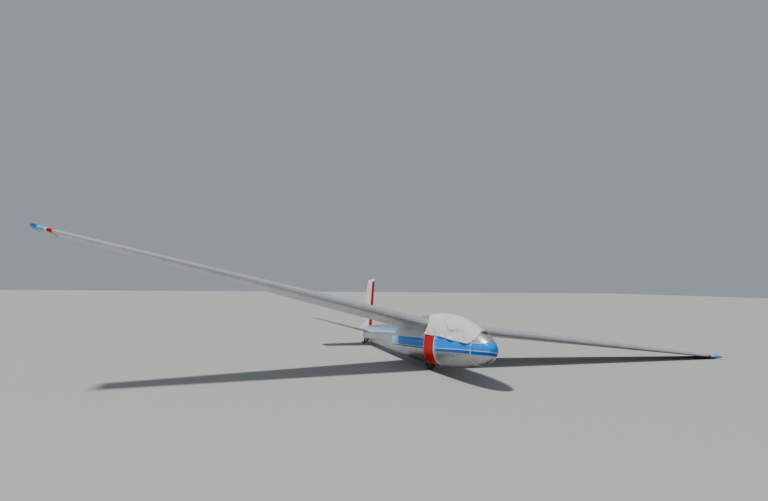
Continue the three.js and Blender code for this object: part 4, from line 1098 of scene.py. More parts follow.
hingeBracket = {"thickness": 0.005, "eye": 0.009, "pin": 0.004, "side": 0.0055, "root": 0.025}


# Eye plates on the fixed side and the pins through them, at shares of the hinge line.
def bracketParts(panel, shares, hinges, fractions):
    start, end = (panelPoint(panel, s, u, 0) for s, u in zip(shares, hinges))
    along = (end - start) / np.linalg.norm(end - start)
    ahead = np.array((1.0, 0, 0)) - along * along[0]
    ahead /= np.linalg.norm(ahead)
    frameTurn = np.stack((ahead, along, np.cross(ahead, along)), axis=1)
    half, eye = hingeBracket["thickness"] / 2, hingeBracket["eye"]
    turn = np.linspace(np.pi / 2, 3 * np.pi / 2, 9)
    plates, pins = [], []
    for fraction in fractions:
        place = start + fraction * (end - start)
        share = shares[0] + fraction * (shares[1] - shares[0])
        hingeU = hinges[0] + fraction * (hinges[1] - hinges[0])
        reach = sectionHinge(panel, share, hingeU)[1] + surfaceGap + hingeBracket["root"]
        outline = [(eye * math.cos(a), eye * math.sin(a)) for a in turn] + [(reach, -eye), (reach, eye)]
        points, faces = tubePart([[(x, y, z) for x, z in outline] for y in (-half, half)])
        plates.append((points @ frameTurn.T + place, faces))
        reachOut = half + hingeBracket["side"] + 0.004
        profile = [(hingeBracket["pin"], -reachOut), (hingeBracket["pin"], reachOut)]
        pins.append(lathePart(profile, place, along, 12))
    return plates, pins


# Ring places along a hinge, each with whether it is slotted: rows near a bracket give way to its slot's edges.
def slottedRows(base, places, clear, unit=1.0):
    half = (hingeBracket["thickness"] / 2 + hingeBracket["side"]) / unit
    rows = [(at, False) for at in base]
    for at in places:
        rows = [row for row in rows if abs(row[0] - at) > half + clear]
        rows += [(at - half - 1e-4, False), (at - half, True), (at + half, True), (at + half + 1e-4, False)]
    return sorted(rows)


# Wings

# Distance out, kind of rear, airbrake pockets and square end wall of each ring, root to tip.
def wingStations():
    inner, outer = flap["inner"] - endGap, flap["outer"] + endGap
    aInner, aOuter = aileron["inner"] - endGap, aileron["outer"] + endGap
    rows = [(y, "full", False, False) for y in (0.06, 0.14, 0.22, 0.30, 0.38)]
    rows += [(inner, "full", False, True), (inner, "slant", False, True)]
    rows += [(y, "slant", False, False) for y in np.arange(0.5, airbrake["inner"] - 0.02, 0.1)]
    rows += [(airbrake["inner"], "slant", False, False), (airbrake["inner"], "slant", True, False)]
    rows += [(y, "slant", True, False) for y in np.arange(3.0, airbrake["outer"] - 0.02, 0.1)]
    rows += [(airbrake["outer"], "slant", True, False), (airbrake["outer"], "slant", False, False)]
    rows += [(y, "slant", False, False) for y in (4.2, 4.3, 4.38)]
    rows += [(outer, "slant", False, True), (outer, "full", False, True)]
    rows += [(4.50, "full", False, False)]
    rows += [(aInner, "full", False, True), (aInner, "round", False, True)]
    rows += [(y, "round", False, False) for y in np.arange(4.65, aOuter - 0.05, 0.11)]
    rows += [(aOuter, "round", False, True), (aOuter, "full", False, True)]
    rows += [(y, "full", False, False) for y in (7.87, 7.92, 7.97, 8.01, wing["end"])]
    return rows


def flapShares():
    return flap["inner"] / wing["halfSpan"], flap["outer"] / wing["halfSpan"]


# The flap's section: skins behind a nose wall that slants under the wing and bows forward a little.
def flapRing(panel, share, skew):
    middle, _, chord = sectionHinge(panel, share, flap["nose"])
    sides = []
    for level in (1, -1):
        h = panelPoint(panel, share, flap["nose"], level)[2] - middle[2]
        cut = flap["nose"] + flap["slant"] * h / chord
        us = cut + (1 - cut) * np.linspace(0, 1, 16)
        flat = panelPoint(panel, share, us, level)
        points = panelPoint(panel, share + skew * (middle[0] - flat[:, 0]) / wing["halfSpan"], us, level)
        sides.append(points)
    upper, lower = sides
    step = np.linspace(0, 1, 9)[1:-1, None]
    wall = upper[0] + step * (lower[0] - upper[0])
    wall[:, 0] += 0.004 * np.sin(np.pi * step[:, 0])
    return np.concatenate((upper[::-1], wall, lower))


clothSag = {"wing": 0.0016, "rudder": 0.0016, "elevator": 0.0014}


# Cloth sinks between ribs: no depth on a rib, the full depth half way to the next.
def bendAtRib(y, ribs, depth):
    step = (y - ribs[0]) / (ribs[1] - ribs[0])
    return depth * np.abs(np.sin(np.pi * step)) ** 0.6


def addWing(side, sideName):
    panel = wingPanel(side)
    span = wing["halfSpan"]
    flapSkew, aileronSkew = (hingeSkew(panel, (u, u), span) for u in (flap["nose"], aileron["hinge"]))
    rings = []
    middleGap = (flap["outer"] + aileron["inner"]) / 2
    for y, kind, slots, square in wingStations():
        inFlap = y < middleGap
        rings.append(surfaceRing(
            panel, y / span, flap["nose"] if inFlap else aileron["hinge"], kind, slots=slots if inFlap else None,
            skew=(flapSkew if inFlap else aileronSkew) if square else 0.0, span=span,
        ))
    parts = [tubePart(rings)]
    hingeShares = (aileron["inner"] / span, aileron["outer"] / span)
    plates, pins = bracketParts(panel, hingeShares, (aileron["hinge"],) * 2, aileron["brackets"])
    parts += [(*plate, 1) for plate in plates]
    addPiece(f"wing_{sideName}_skin", parts, [wingSkin, gearPaint], nodes=(f"wing_{sideName}",))

    ribs, length = 14, aileron["outer"] - aileron["inner"]
    ribPlaces = (aileron["inner"], aileron["inner"] + length / ribs)
    stations = slottedRows(np.linspace(aileron["inner"], aileron["outer"], ribs * 8 + 1),
                           [aileron["inner"] + fraction * length for fraction in aileron["brackets"]], 0.004)
    rings = [
        movingRing(panel, y / span, aileron["hinge"], aileronSkew, span, slot,
                   bendAtRib(y, ribPlaces, clothSag["wing"]))
        for y, slot in stations
    ]
    parts = [tubePart(rings)] + [(*pin, 1) for pin in pins]
    addPiece(f"aileron_{sideName}_cloth", parts, [fabricSkin, brightSteel], f"aileron_{sideName}",
             (f"aileron_{sideName}",))

    shares = np.linspace(*flapShares(), 42)
    rings = [flapRing(panel, share, flapSkew) for share in shares]
    addPiece(f"flap_{sideName}_skin", [tubePart(rings)], wingSkin, f"flap_{sideName}",
             (f"flap_{sideName}",))

    for level, name, at in ((1, "upper", airbrake["upper"]), (-1, "lower", airbrake["lower"])):
        addAirbrake(panel, level, name, at, sideName)
    addTipBody(panel, sideName)


# A plate on edge in the wing, flush with the skin when it is in.
def addAirbrake(panel, level, name, at, sideName):
    ends = (airbrake["inner"] + airbrake["endGap"], airbrake["outer"] - airbrake["endGap"])
    shares = np.linspace(*ends, 25) / wing["halfSpan"]
    rings = []
    for share in shares:
        middle = panelPoint(panel, share, at, 0)
        chord = sectionHinge(panel, share, at)[2]
        edge = [panelPoint(panel, share, at + x / chord, level) for x in (-airbrake["half"], airbrake["half"])]
        foot = middle[2] - level * airbrake["depth"]
        rings.append([edge[0], edge[1], (edge[1][0], edge[1][1], foot), (edge[0][0], edge[0][1], foot)])
    addPiece(f"airbrake_{name}_{sideName}_plate", [tubePart(rings)], wingSkin,
             f"airbrake_{name}_{sideName}", (f"airbrake_{name}_{sideName}",))


# Spindle on the wing's end: radius = 0.05 sin(pi s^0.75)^0.7 along 0.78 m.
def addTipBody(panel, sideName):
    centre = panelPoint(panel, wing["end"] / wing["halfSpan"], 0.5, 0) + (tipBody["nose"], 0, -tipBody["drop"])
    share = (1 - np.cos(np.linspace(0, np.pi, 49))) / 2
    radius = tipBody["radius"] * np.maximum(np.sin(np.pi * share ** 0.75), 0) ** 0.7
    radius[[0, -1]] = 0.0006
    profile = np.stack((radius, tipBody["length"] * (0.5 - share)), axis=1)[::-1]
    addPiece(f"tipBody_{sideName}_shell", [lathePart(profile, centre, (1, 0, 0), 48)], tipPaint,
             nodes=(f"tip_body_{sideName}",))


fabricSkin = metalSkin("fabricSkin", bare=0.4)
addWing(1, "port")
addWing(-1, "starboard")
print("wings made")


# Tail

def finHinge(share):
    lead = fin["baseLead"] + share * (fin["topLead"] - fin["baseLead"])
    chord = fin["baseChord"] + share * (fin["topChord"] - fin["baseChord"])
    return (rudderHinge["aft"] - lead) / chord


def finShare(height):
    return (height - fin["base"]) / (fin["top"] - fin["base"])


def addFin():
    panel = finPanel()
    span = fin["top"] - fin["base"]
    heights = np.linspace(fin["foot"], fin["hornBottom"] - fin["hornGap"], 30)
    rings = [surfaceRing(panel, finShare(z), finHinge(finShare(z)), "round", span=span) for z in heights]
    parts = [tubePart(rings)]
    ends = (0.0, 1.0)
    plates, pins = bracketParts(panel, ends, (finHinge(0.0), finHinge(1.0)), fin["brackets"])
    parts += [(*plate, 1) for plate in plates]
    addPiece("finSurface", parts, [finSkin, gearPaint], nodes=("fin",))

    slope = (heel["high"] - heel["low"]) / (heel["end"] - heel["start"])
    ribs = np.linspace(fin["base"], fin["hornBottom"], 8)
    stations = slottedRows(np.linspace(fin["base"], fin["hornBottom"], 64),
                           [fin["base"] + fraction * span for fraction in fin["brackets"]], 0.004)
    rings = []
    for z, slot in stations:
        share = finShare(z)
        sag = bendAtRib(z, ribs[:2], clothSag["rudder"])
        ring = movingRing(panel, share, finHinge(share), 0.0, span, slot, sag)
        foot = fin["base"] + np.maximum(-ring[:, 0] - heel["start"], 0) * slope
        top = fin["hornBottom"]
        ring[:, 2] = foot + (z - fin["base"]) / (top - fin["base"]) * (top - foot)
        rings.append(ring)
    horn = []
    for z in np.linspace(fin["hornBottom"], fin["top"], 9):
        share = finShare(z)
        hingeU = finHinge(share)
        rear = hingeU + (1 - hingeU) * np.linspace(0, 1, rearPoints) ** 0.9
        over = np.linspace(1, -1, nosePoints)[1:-1]
        front = hingeU * np.abs(over) ** 2
        horn.append(np.concatenate((
            panelPoint(panel, share, rear[::-1], 1), panelPoint(panel, share, front, np.sign(over)),
            panelPoint(panel, share, rear, -1),
        )))
    rings += horn + roundedTip(horn[-1], panel)
    parts = [tubePart(rings)] + [(*pin, 1) for pin in pins]
    addPiece("rudderSurface", parts, [finSkin, brightSteel], "rudder", ("rudder",))


def addTailplane(side, sideName):
    panel = tailPanel(side)
    span = tailplane["half"]
    hingeRoot, hingeTip = elevator["hinge"]
    hingeAtShare = lambda share: hingeRoot + share * (hingeTip - hingeRoot)
    inner = elevator["inner"] - endGap / span
    rings = [surfaceRing(panel, share, hingeAtShare(share), "flat", span=span, wallAft=tailplane["clearAft"])
             for share in (0.004, 0.03, 0.06, 0.09, inner - 0.001)]
    rings += [surfaceRing(panel, share, hingeAtShare(share), "round", span=span)
              for share in np.linspace(inner, 1, 26)]
    rings += roundedTip(rings[-1], panel)
    parts = [tubePart(rings)]
    ends = (elevator["inner"], 1.0)
    plates, pins = bracketParts(panel, ends, (hingeAtShare(ends[0]), hingeAtShare(1.0)), elevator["brackets"])
    parts += [(*plate, 1) for plate in plates]
    addPiece(f"tailplane_{sideName}_skin", parts, [tailplaneSkin, gearPaint], nodes=(f"tailplane_{sideName}",))

    ribs = np.linspace(*ends, 8)
    places = [ends[0] + fraction * (ends[1] - ends[0]) for fraction in elevator["brackets"]]
    rings = [
        movingRing(panel, share, hingeAtShare(share), 0.0, span, slot,
                   bendAtRib(share, ribs[:2], clothSag["elevator"]))
        for share, slot in slottedRows(np.linspace(*ends, 57), places, 0.003, span)
    ]
    rings += roundedTip(rings[-1], panel)
    parts = [tubePart(rings)] + [(*pin, 1) for pin in pins]
    addPiece(f"elevator_{sideName}_cloth", parts, [fabricSkin, brightSteel], f"elevator_{sideName}",
             (f"elevator_{sideName}",))


addFin()
addTailplane(1, "port")
addTailplane(-1, "starboard")
print("tail made")


# Canopy frame and panes

canopyEdges = (0.620, 0.660, 1.250, 1.290, 1.820, 1.860, 2.320, 2.360)  # bows and windows in turn


def overAngles(stations, rail, sideCount, topCount):  # port sill, over the top, starboard sill
    low = angleAtHeight(stations, sillHeight(stations))
    high = angleAtHeight(stations, sillHeight(stations) + rail)
    return np.concatenate((
        spread(low, high, sideCount), spread(high, np.pi - high, topCount)[1:],
        spread(np.pi - high, np.pi - low, sideCount)[1:],
    )).T


# Rows lean with the windscreen foot and stand upright from the first bow.
def canopyGrid(stations, angles, grow=0.0):
    fade = np.clip(1 - (stations - canopyEdges[1]) / (canopyEdges[2] - canopyEdges[1]), 0, 1)
    aft = leaningAft(stations[:, None], (canopy["lean"] * fade)[:, None], angles, grow)
    return hullPoint(aft, angles, grow)


def addCanopy():
    sideCount, topCount, inset = 4, 49, 0.0008
    rows, spans = [canopyEdges[0]], []
    for k, (start, end) in enumerate(zip(canopyEdges[:-1], canopyEdges[1:])):
        count = 3 if k % 2 == 0 else 16
        rows += list(np.linspace(start, end, count + 1)[1:])
        spans += [k] * count
    rows = np.array(rows)
    grid = canopyGrid(rows, overAngles(rows, canopy["rail"], sideCount, topCount))
    column = np.arange(grid.shape[1] - 1)
    inTop = (column >= sideCount - 1) & (column < sideCount + topCount - 2)
    window = (np.array(spans) % 2 == 1)[:, None] & inTop[None, :]
    turnOutwards(addPiece("canopyRibs", [sheetPart(grid, ~window)], framePaint, "canopy", ("canopy_frame",),
                          thickness=hull["wall"], closed=False))
    for name, k in (("front", 1), ("middle", 3), ("rear", 5)):
        stations = np.linspace(canopyEdges[k] + inset, canopyEdges[k + 1] - inset, 20)
        high = angleAtHeight(stations, sillHeight(stations) + canopy["rail"] + inset)
        grid = canopyGrid(stations, spread(high, np.pi - high, topCount).T, canopy["glassOut"])
        turnOutwards(addPiece(f"{name}Pane", [sheetPart(grid)], clearAcrylic, "canopy", (f"glass_{name}",),
                              thickness=0.006, closed=False))


addCanopy()
print("canopy made")


# Cloth cover and its straps

hem = {
    "aft": np.array((0.36, 0.44, 0.57, 0.80, 1.19, 1.43, 1.84, 2.19, 2.48)),
    "height": np.array((0.090, 0.079, 0.056, 0.074, 0.100, 0.128, 0.154, 0.166, 0.174)),
    "band": 0.020,
}
cover = {
    "rows": 214, "columns": 150, "seed": 7, "thickness": 0.0012, "least": 0.0032,
    "frontShare": np.array((0.0, 0.08, 0.135, 0.23, 0.37, 0.43, 0.46, 0.5)),
    "frontAft": np.array((0.44, 0.39, 0.365, 0.36, 0.415, 0.452, 0.468, 0.478)),
    "rearHeight": (0.40, 0.437, 0.507, 0.56, 0.62, 0.68), "rearAft": (2.452, 2.456, 2.526, 2.59, 2.68, 2.76),
    "flat": (1.50, 2.33), "area": 2.66, "looseLift": 0.0105, "sewnLift": 0.0009, "stitch": (0.0005, 0.0022),
    "wrinkles": ((0.26, 0.0030, 1), (0.12, 0.0017, 2), (0.055, 0.0009, 3)),  # size, depth and seed
    "standOff": (0.14, 0.045),  # reach of a standing hem along it and up from it
}
strap = {"frontAft": 0.420, "frontLength": 1.19, "rearAft": 1.830, "rearLength": 1.64, "width": 0.030,
         "thickness": 0.0022, "under": 0.018}
buckle = {"drop": 0.085, "lift": 0.0042, "half": (0.0245, 0.0150), "wire": 0.0021, "bar": 0.0019,
          "barRise": 0.0012}

# Folds in the cloth: height and half width in metres, and the line on the starboard side as (aft, height)
starboardFolds = (
    (0.026, 0.026, ((1.93, 0.38), (1.90, 0.27), (1.89, 0.15))),
    (-0.030, 0.017, ((1.86, 0.34), (1.83, 0.25), (1.82, 0.15))),
    (0.028, 0.028, ((1.77, 0.36), (1.70, 0.27), (1.65, 0.16))),
    (-0.018, 0.040, ((1.80, 0.51), (1.61, 0.42), (1.46, 0.33), (1.33, 0.26))),
    (0.034, 0.033, ((1.68, 0.48), (1.51, 0.40), (1.37, 0.33), (1.24, 0.29), (1.05, 0.32), (0.92, 0.35))),
    (-0.014, 0.046, ((1.34, 0.22), (1.02, 0.23), (0.72, 0.22))),
    (0.024, 0.030, ((0.86, 0.37), (0.73, 0.25), (0.63, 0.11))),
    (-0.009, 0.024, ((0.92, 0.30), (0.81, 0.20), (0.76, 0.12))),
    (0.026, 0.046, ((2.44, 0.46), (2.30, 0.32), (2.22, 0.19))),
    (-0.014, 0.028, ((2.30, 0.43), (2.18, 0.32), (2.10, 0.20))),
    (0.010, 0.020, ((2.05, 0.44), (1.98, 0.34), (1.96, 0.20))),
)
portFolds = (
    (0.013, 0.040, ((1.72, 0.47), (1.50, 0.36), (1.22, 0.30), (0.98, 0.34))),
    (-0.008, 0.045, ((1.30, 0.22), (1.00, 0.21), (0.76, 0.20))),
    (0.010, 0.034, ((1.80, 0.38), (1.90, 0.27), (1.96, 0.18))),
    (-0.007, 0.028, ((2.02, 0.40), (2.10, 0.30), (2.14, 0.20))),
    (0.012, 0.055, ((2.42, 0.45), (2.32, 0.33), (2.26, 0.20))),
    (0.009, 0.036, ((0.70, 0.33), (0.66, 0.22), (0.60, 0.11))),
    (-0.006, 0.040, ((1.62, 0.26), (1.52, 0.18), (1.46, 0.15))),
)
# Where the hem stands away: aft and height
hemStandOff = ((2.40, 0.026), (1.62, 0.028), (1.22, 0.036), (0.68, 0.032))


def hemHeight(aft):
    return smoothThrough(hem["aft"], hem["height"], np.clip(aft, 0.36, 2.48))


# Points on the skin through (aft, height) places, evenly along the line.
def sideLine(side, places, count=24):
    places = np.array(places)
    share = np.linspace(0, len(places) - 1, count)
    aft, height = (np.interp(share, np.arange(len(places)), places[:, k]) for k in (0, 1))
    angle = angleAtHeight(aft, height)
    return hullPoint(aft, angle if side > 0 else np.pi - angle)


# A fold is h exp(-(d / w)^2) of the distance d to its line. It fades at both ends, or when held only at the
# far one.
def foldField(points, side, folds, held=False):
    total = np.zeros(points.shape[:-1])
    for height, halfWidth, places in folds:
        line = sideLine(side, places)
        distance = np.linalg.norm(points[..., None, :] - line, axis=-1)
        nearest = distance.argmin(axis=-1)
        share = nearest / (len(line) - 1)
        fade = 1 - share ** 2 if held else np.sqrt(np.sin(np.pi * share))
        total += height * fade * np.exp(-(distance.min(axis=-1) / halfWidth) ** 2)
    return total


def strapFans():  # short pleats that spread up from where each strap is sewn to the hem
    random = np.random.default_rng(cover["seed"])
    fans = []
    for aft in (strap["frontAft"] + strap["width"] / 2, strap["rearAft"] + strap["width"] / 2):
        foot = float(hemHeight(aft))
        for lean in (-0.9, -0.45, 0.0, 0.5, 0.95):
            reach = random.uniform(0.10, 0.19)
            turn = lean + random.uniform(-0.12, 0.12)
            start = (aft + 0.016 * turn, foot)
            end = (aft + reach * math.sin(turn), foot + reach * math.cos(turn))
            fans.append((random.uniform(0.0025, 0.0045), random.uniform(0.009, 0.014), (start, end)))
    return fans


def latticeNoise(x, y, seed):  # random numbers on a unit lattice joined by smooth steps, -1..1
    numbers = np.random.default_rng(seed).uniform(-1, 1, (64, 64))
    column, row = np.floor(x).astype(int), np.floor(y).astype(int)
    fx, fy = x - column, y - row
    fx, fy = fx * fx * (3 - 2 * fx), fy * fy * (3 - 2 * fy)
    corner = lambda i, j: numbers[(row + j) % 64, (column + i) % 64]
    low = corner(0, 0) * (1 - fx) + corner(1, 0) * fx
    high = corner(0, 1) * (1 - fx) + corner(1, 1) * fx
    return low * (1 - fy) + high * fy


def bandShares(length, count):  # shares from 0 to 1 with extra lines along a sewn band at both ends
    band = hem["band"]
    near = np.array((0, 0.003, 0.010, band - 0.002, band, band + 0.002, band + 0.006)) / length
    middle = np.linspace(near[-1], 1 - near[-1], count - 2 * len(near) + 2)
    return np.concatenate((near, middle[1:-1], 1 - near[::-1]))


# A sheet with a UV map in metres for its weave and the distance to its edge as an attribute.
def addCloth(name, grid, material, thickness, across, along, edge):
    points, faces = sheetPart(parked(grid))
    mesh = bpy.data.meshes.new(name)
    mesh.from_pydata(points.tolist(), [], faces[0].tolist())
    mesh.materials.append(material)
    mesh.attributes.new("edge", "FLOAT", "POINT").data.foreach_set("value", edge.ravel())
    mesh.shade_smooth()
    piece = linked(name, mesh)
    turnOutwards(piece)
    corner = np.empty(len(mesh.loops), int)
    mesh.loops.foreach_get("vertex_index", corner)
    flat = np.stack((across.ravel(), along.ravel()), axis=1)[corner]
    mesh.uv_layers.new(name="weave").data.foreach_set("uv", flat.ravel())
    addWall(piece, thickness, 1)
    return piece


def gridMeasures(grid):  # metres across and along a grid from its first corner, and the distance to its edge
    across = np.pad(np.cumsum(np.linalg.norm(np.diff(grid, axis=1), axis=2), axis=1), ((0, 0), (1, 0)))
    along = np.pad(np.cumsum(np.linalg.norm(np.diff(grid, axis=0), axis=2), axis=0), ((1, 0), (0, 0)))
    edge = np.minimum(np.minimum(across, across[:, -1:] - across), np.minimum(along, along[-1:] - along))
    return across, along, edge


# One sheet over the canopy from hem to hem, tight over the top and loose down the sides.
def addCover():
    v = bandShares(cover["flat"][0], cover["columns"])
    t = bandShares(cover["flat"][1], cover["rows"])
    mirrored = np.minimum(v, 1 - v)
    frontAft = smoothThrough(cover["frontShare"], cover["frontAft"], mirrored)
    rearEdge = angleAtHeight(2.5, float(hemHeight(2.48)))
    rearHeights = hullPoint(2.5, rearEdge + v * (np.pi - 2 * rearEdge))[:, 2]
    rearAft = np.interp(rearHeights, cover["rearHeight"], cover["rearAft"])
    aft = frontAft + t[:, None] * (rearAft - frontAft)
    edgeAngle = angleAtHeight(aft, hemHeight(aft))
    angle = edgeAngle + v * (np.pi - 2 * edgeAngle)
    base = hullPoint(aft, angle)
    across, along, edge = gridMeasures(base)
    loose = np.sin(np.pi * np.clip(mirrored * 2.6, 0, 1)) ** 1.2
    inside = np.clip((edge - 0.01) / 0.10, 0, 1)
    inside = inside * inside * (3 - 2 * inside)
    lift = cover["least"] + cover["looseLift"] * loose * inside
    folds = np.where(v < 0.5, foldField(base, 1, portFolds), foldField(base, -1, starboardFolds))
    lift += folds * np.clip(edge / 0.03, 0.25, 1)
    fans = strapFans()
    lift += np.where(v < 0.5, foldField(base, 1, fans, True), foldField(base, -1, fans, True))
    wrinkle = 0
    for size, depth, seed in cover["wrinkles"]:
        noise = latticeNoise(across / size + 0.35 * along / size, along / (0.6 * size), cover["seed"] + seed)
        wrinkle = wrinkle + depth * (1 - 2 * np.abs(noise)) * (0.35 + 0.65 * loose)
    lift += wrinkle * (0.25 + 0.75 * inside)
    near = np.minimum(across, across[:, -1:] - across)
    reach, rise = cover["standOff"]
    for place, height in hemStandOff:
        lift += height * np.exp(-((aft - place) / reach) ** 2) * np.exp(-(near / rise) ** 2)
    blend = cover["thickness"]
    lift = cover["least"] + np.logaddexp(0, (lift - cover["least"]) / blend) * blend
    depth, width = cover["stitch"]
    lift += np.where(edge < hem["band"], cover["sewnLift"], 0.0)
    lift -= depth * np.exp(-((edge - hem["band"]) / width) ** 2)
    grid = hullPoint(aft, angle, lift)
    cloth = addCloth("canopyCover", grid, coverCloth, cover["thickness"], across, along, edge)
    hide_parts("cover_main", "cover_skirt")
    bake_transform(cloth)


def strapFrame(aft, angle, lift):  # a place on the skin with its directions aft, round the skin and outwards
    place = hullPoint(aft, angle, lift)
    round_ = hullPoint(aft, angle + 0.01) - hullPoint(aft, angle - 0.01)
    back = hullPoint(aft + 0.01, angle) - hullPoint(aft - 0.01, angle)
    round_, back = round_ / np.linalg.norm(round_), back / np.linalg.norm(back)
    outward = np.cross(back, round_)
    if outward @ (place - (place[0], 0, 0)) < 0:
        outward = -outward
    return place, back, round_, outward


# Webbing round the belly from hem to hem, with a slide buckle on each side.
def addStraps():
    for name, front, length in (("front", strap["frontAft"], strap["frontLength"]),
                                ("rear", strap["rearAft"], strap["rearLength"])):
        stations = front + strap["width"] * np.linspace(0, 1, 7)
        start = angleAtHeight(stations, hemHeight(stations) + strap["under"])
        angles = spread(start, -np.pi - start, 170).T
        grid = hullPoint(stations[:, None], angles, 0.0006)
        across, along, edge = gridMeasures(grid)
        band = addCloth(f"{name}Strap", grid, strapWebbing, strap["thickness"], along, across, edge)
        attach(band, "airframe")
        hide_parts(f"strap_{name}")
        buckles = []
        for side in (1, -1):
            middle = front + strap["width"] / 2
            turn = float(angleAtHeight(middle, float(hemHeight(middle)) - buckle["drop"]))
            turn = turn if side > 0 else np.pi - turn
            place, back, round_, outward = strapFrame(middle, turn, buckle["lift"])
            corner = np.array([(math.cos(a), math.sin(a)) for a in np.arange(32) * np.pi / 16])
            oval = powered(corner, 0.35)
            long, wide = buckle["half"]
            loop = place + oval[:, :1] * long * back + oval[:, 1:] * wide * round_
            buckles.append(pipePart(loop, buckle["wire"], 10, closed=True))
            bar = place + np.linspace(-0.024, 0.024, 5)[:, None] * back + buckle["barRise"] * outward
            buckles.append(pipePart(bar, buckle["bar"], 10))
        addPiece(f"{name}Buckles", buckles, brightSteel, nodes=(f"strap_{name}",))


addCover()
addStraps()
print("cover and straps made")


# Nose fittings

scoop = {"aft": 0.400, "length": 0.062, "half": 0.060, "height": 0.034, "mouth": 0.012, "tilt": 22.0,
         "wall": 0.0022}
hook = {"aft": 0.170, "half": 0.006, "length": 0.070, "drop": 0.034, "lip": 0.014}


# Hood: an ellipsoid cut open in front, tilted down the slope of the nose, with a rolled lip.
def addScoop():
    top = float(hullAt(np.array(scoop["aft"]))[1])
    turn = np.array(Matrix.Rotation(math.radians(scoop["tilt"]), 3, "Y"))
    place = np.array((-scoop["aft"], 0, top))
    along = -scoop["length"] * np.cos(np.linspace(0.02, math.acos(-scoop["mouth"] / scoop["length"]), 22))
    radius = np.sqrt(1 - (along / scoop["length"]) ** 2)
    angle = np.linspace(-0.42, np.pi + 0.42, 41)
    grid = np.stack((
        np.repeat(along[:, None], 41, axis=1), radius[:, None] * scoop["half"] * np.cos(angle),
        radius[:, None] * scoop["height"] * np.sin(angle),
    ), axis=-1) @ turn.T + place
    # The hood's inner side and cut edges take the near-black darkTrim: painted shade inside the scoop's mouth.
    turnOutwards(addPiece("scoopHood", [sheetPart(grid)], [wingSkin, darkTrim], nodes=("air_scoop",),
                          thickness=scoop["wall"], closed=False))
    lip = pipePart(grid[-1][3:-3], 0.0021, 10)
    addPiece("scoopLip", [lip], wingSkin, nodes=("air_scoop",))


def addHook():
    aft, lip = hook["aft"], hook["lip"]
    low = float(hullAt(np.array(aft))[2])
    tip = low - hook["drop"]
    outline = [
        (aft, low + 0.02), (aft, tip + lip), (aft + 0.006, tip + 0.005), (aft + 0.018, tip), (aft + 0.034, tip),
        (aft + 0.040, tip + 0.005), (aft + 0.040, tip + lip), (aft + 0.026, tip + lip),
        (aft + 0.030, tip + lip + 0.010), (aft + hook["length"], low + 0.015),
    ]
    plate = platePart(outline, -hook["half"], hook["half"])
    pin = lathePart([(0.0035, -0.011), (0.0035, 0.011)], (-aft - 0.012, 0, tip + 0.022), (0, 1, 0), 16)
    addPiece("towHook", [plate, pin], gearPaint, nodes=("tow_hook",), sharp=30)


addScoop()
addHook()
print("nose fittings made")


# Main wheel

wheel = {"half": 0.0675, "rim": 0.078, "axle": 0.015, "middle": 0.120, "swell": 0.055, "power": 0.77}
tread = {"from": 0.16, "grooves": (-0.034, -0.012, 0.012, 0.034), "depth": 0.0045, "groove": 0.0022,
         "lines": (0.140, 0.100), "line": 0.0016}
hubBolt = {"circle": 0.0495, "radius": 0.0062, "span": (0.0195, 0.0260)}
hubProfile = [  # radius and distance across from the disc to the rim
    (0.0155, 0.042), (0.030, 0.042), (0.034, 0.038), (0.037, 0.024), (0.043, 0.0195), (0.056, 0.0195),
    (0.064, 0.026), (0.070, 0.040), (0.073, 0.047), (0.084, 0.0495), (0.086, 0.0525), (0.083, 0.0545),
    (0.0765, 0.0515),
]
fork = {"inside": 0.079, "plate": 0.008, "width": 0.070, "bridge": 0.022, "axleEnd": 0.008, "roof": -0.1603,
        "rib": (0.028, 0.003, 0.006), "ribSpan": (0.024, -0.355), "bolt": 0.007}
wheelMiddle = np.array((-wheelCentre["aft"], 0, wheelCentre["height"]))


def hexPart(place, axis, radius, low, high):  # a six-sided nut with its outer corners cut
    cut, rise = radius * 0.86, high - low
    profile = [(cut, low), (radius, low + 0.1 * rise), (radius, high - 0.15 * rise), (cut, high)]
    return lathePart(profile, place, axis, 6)


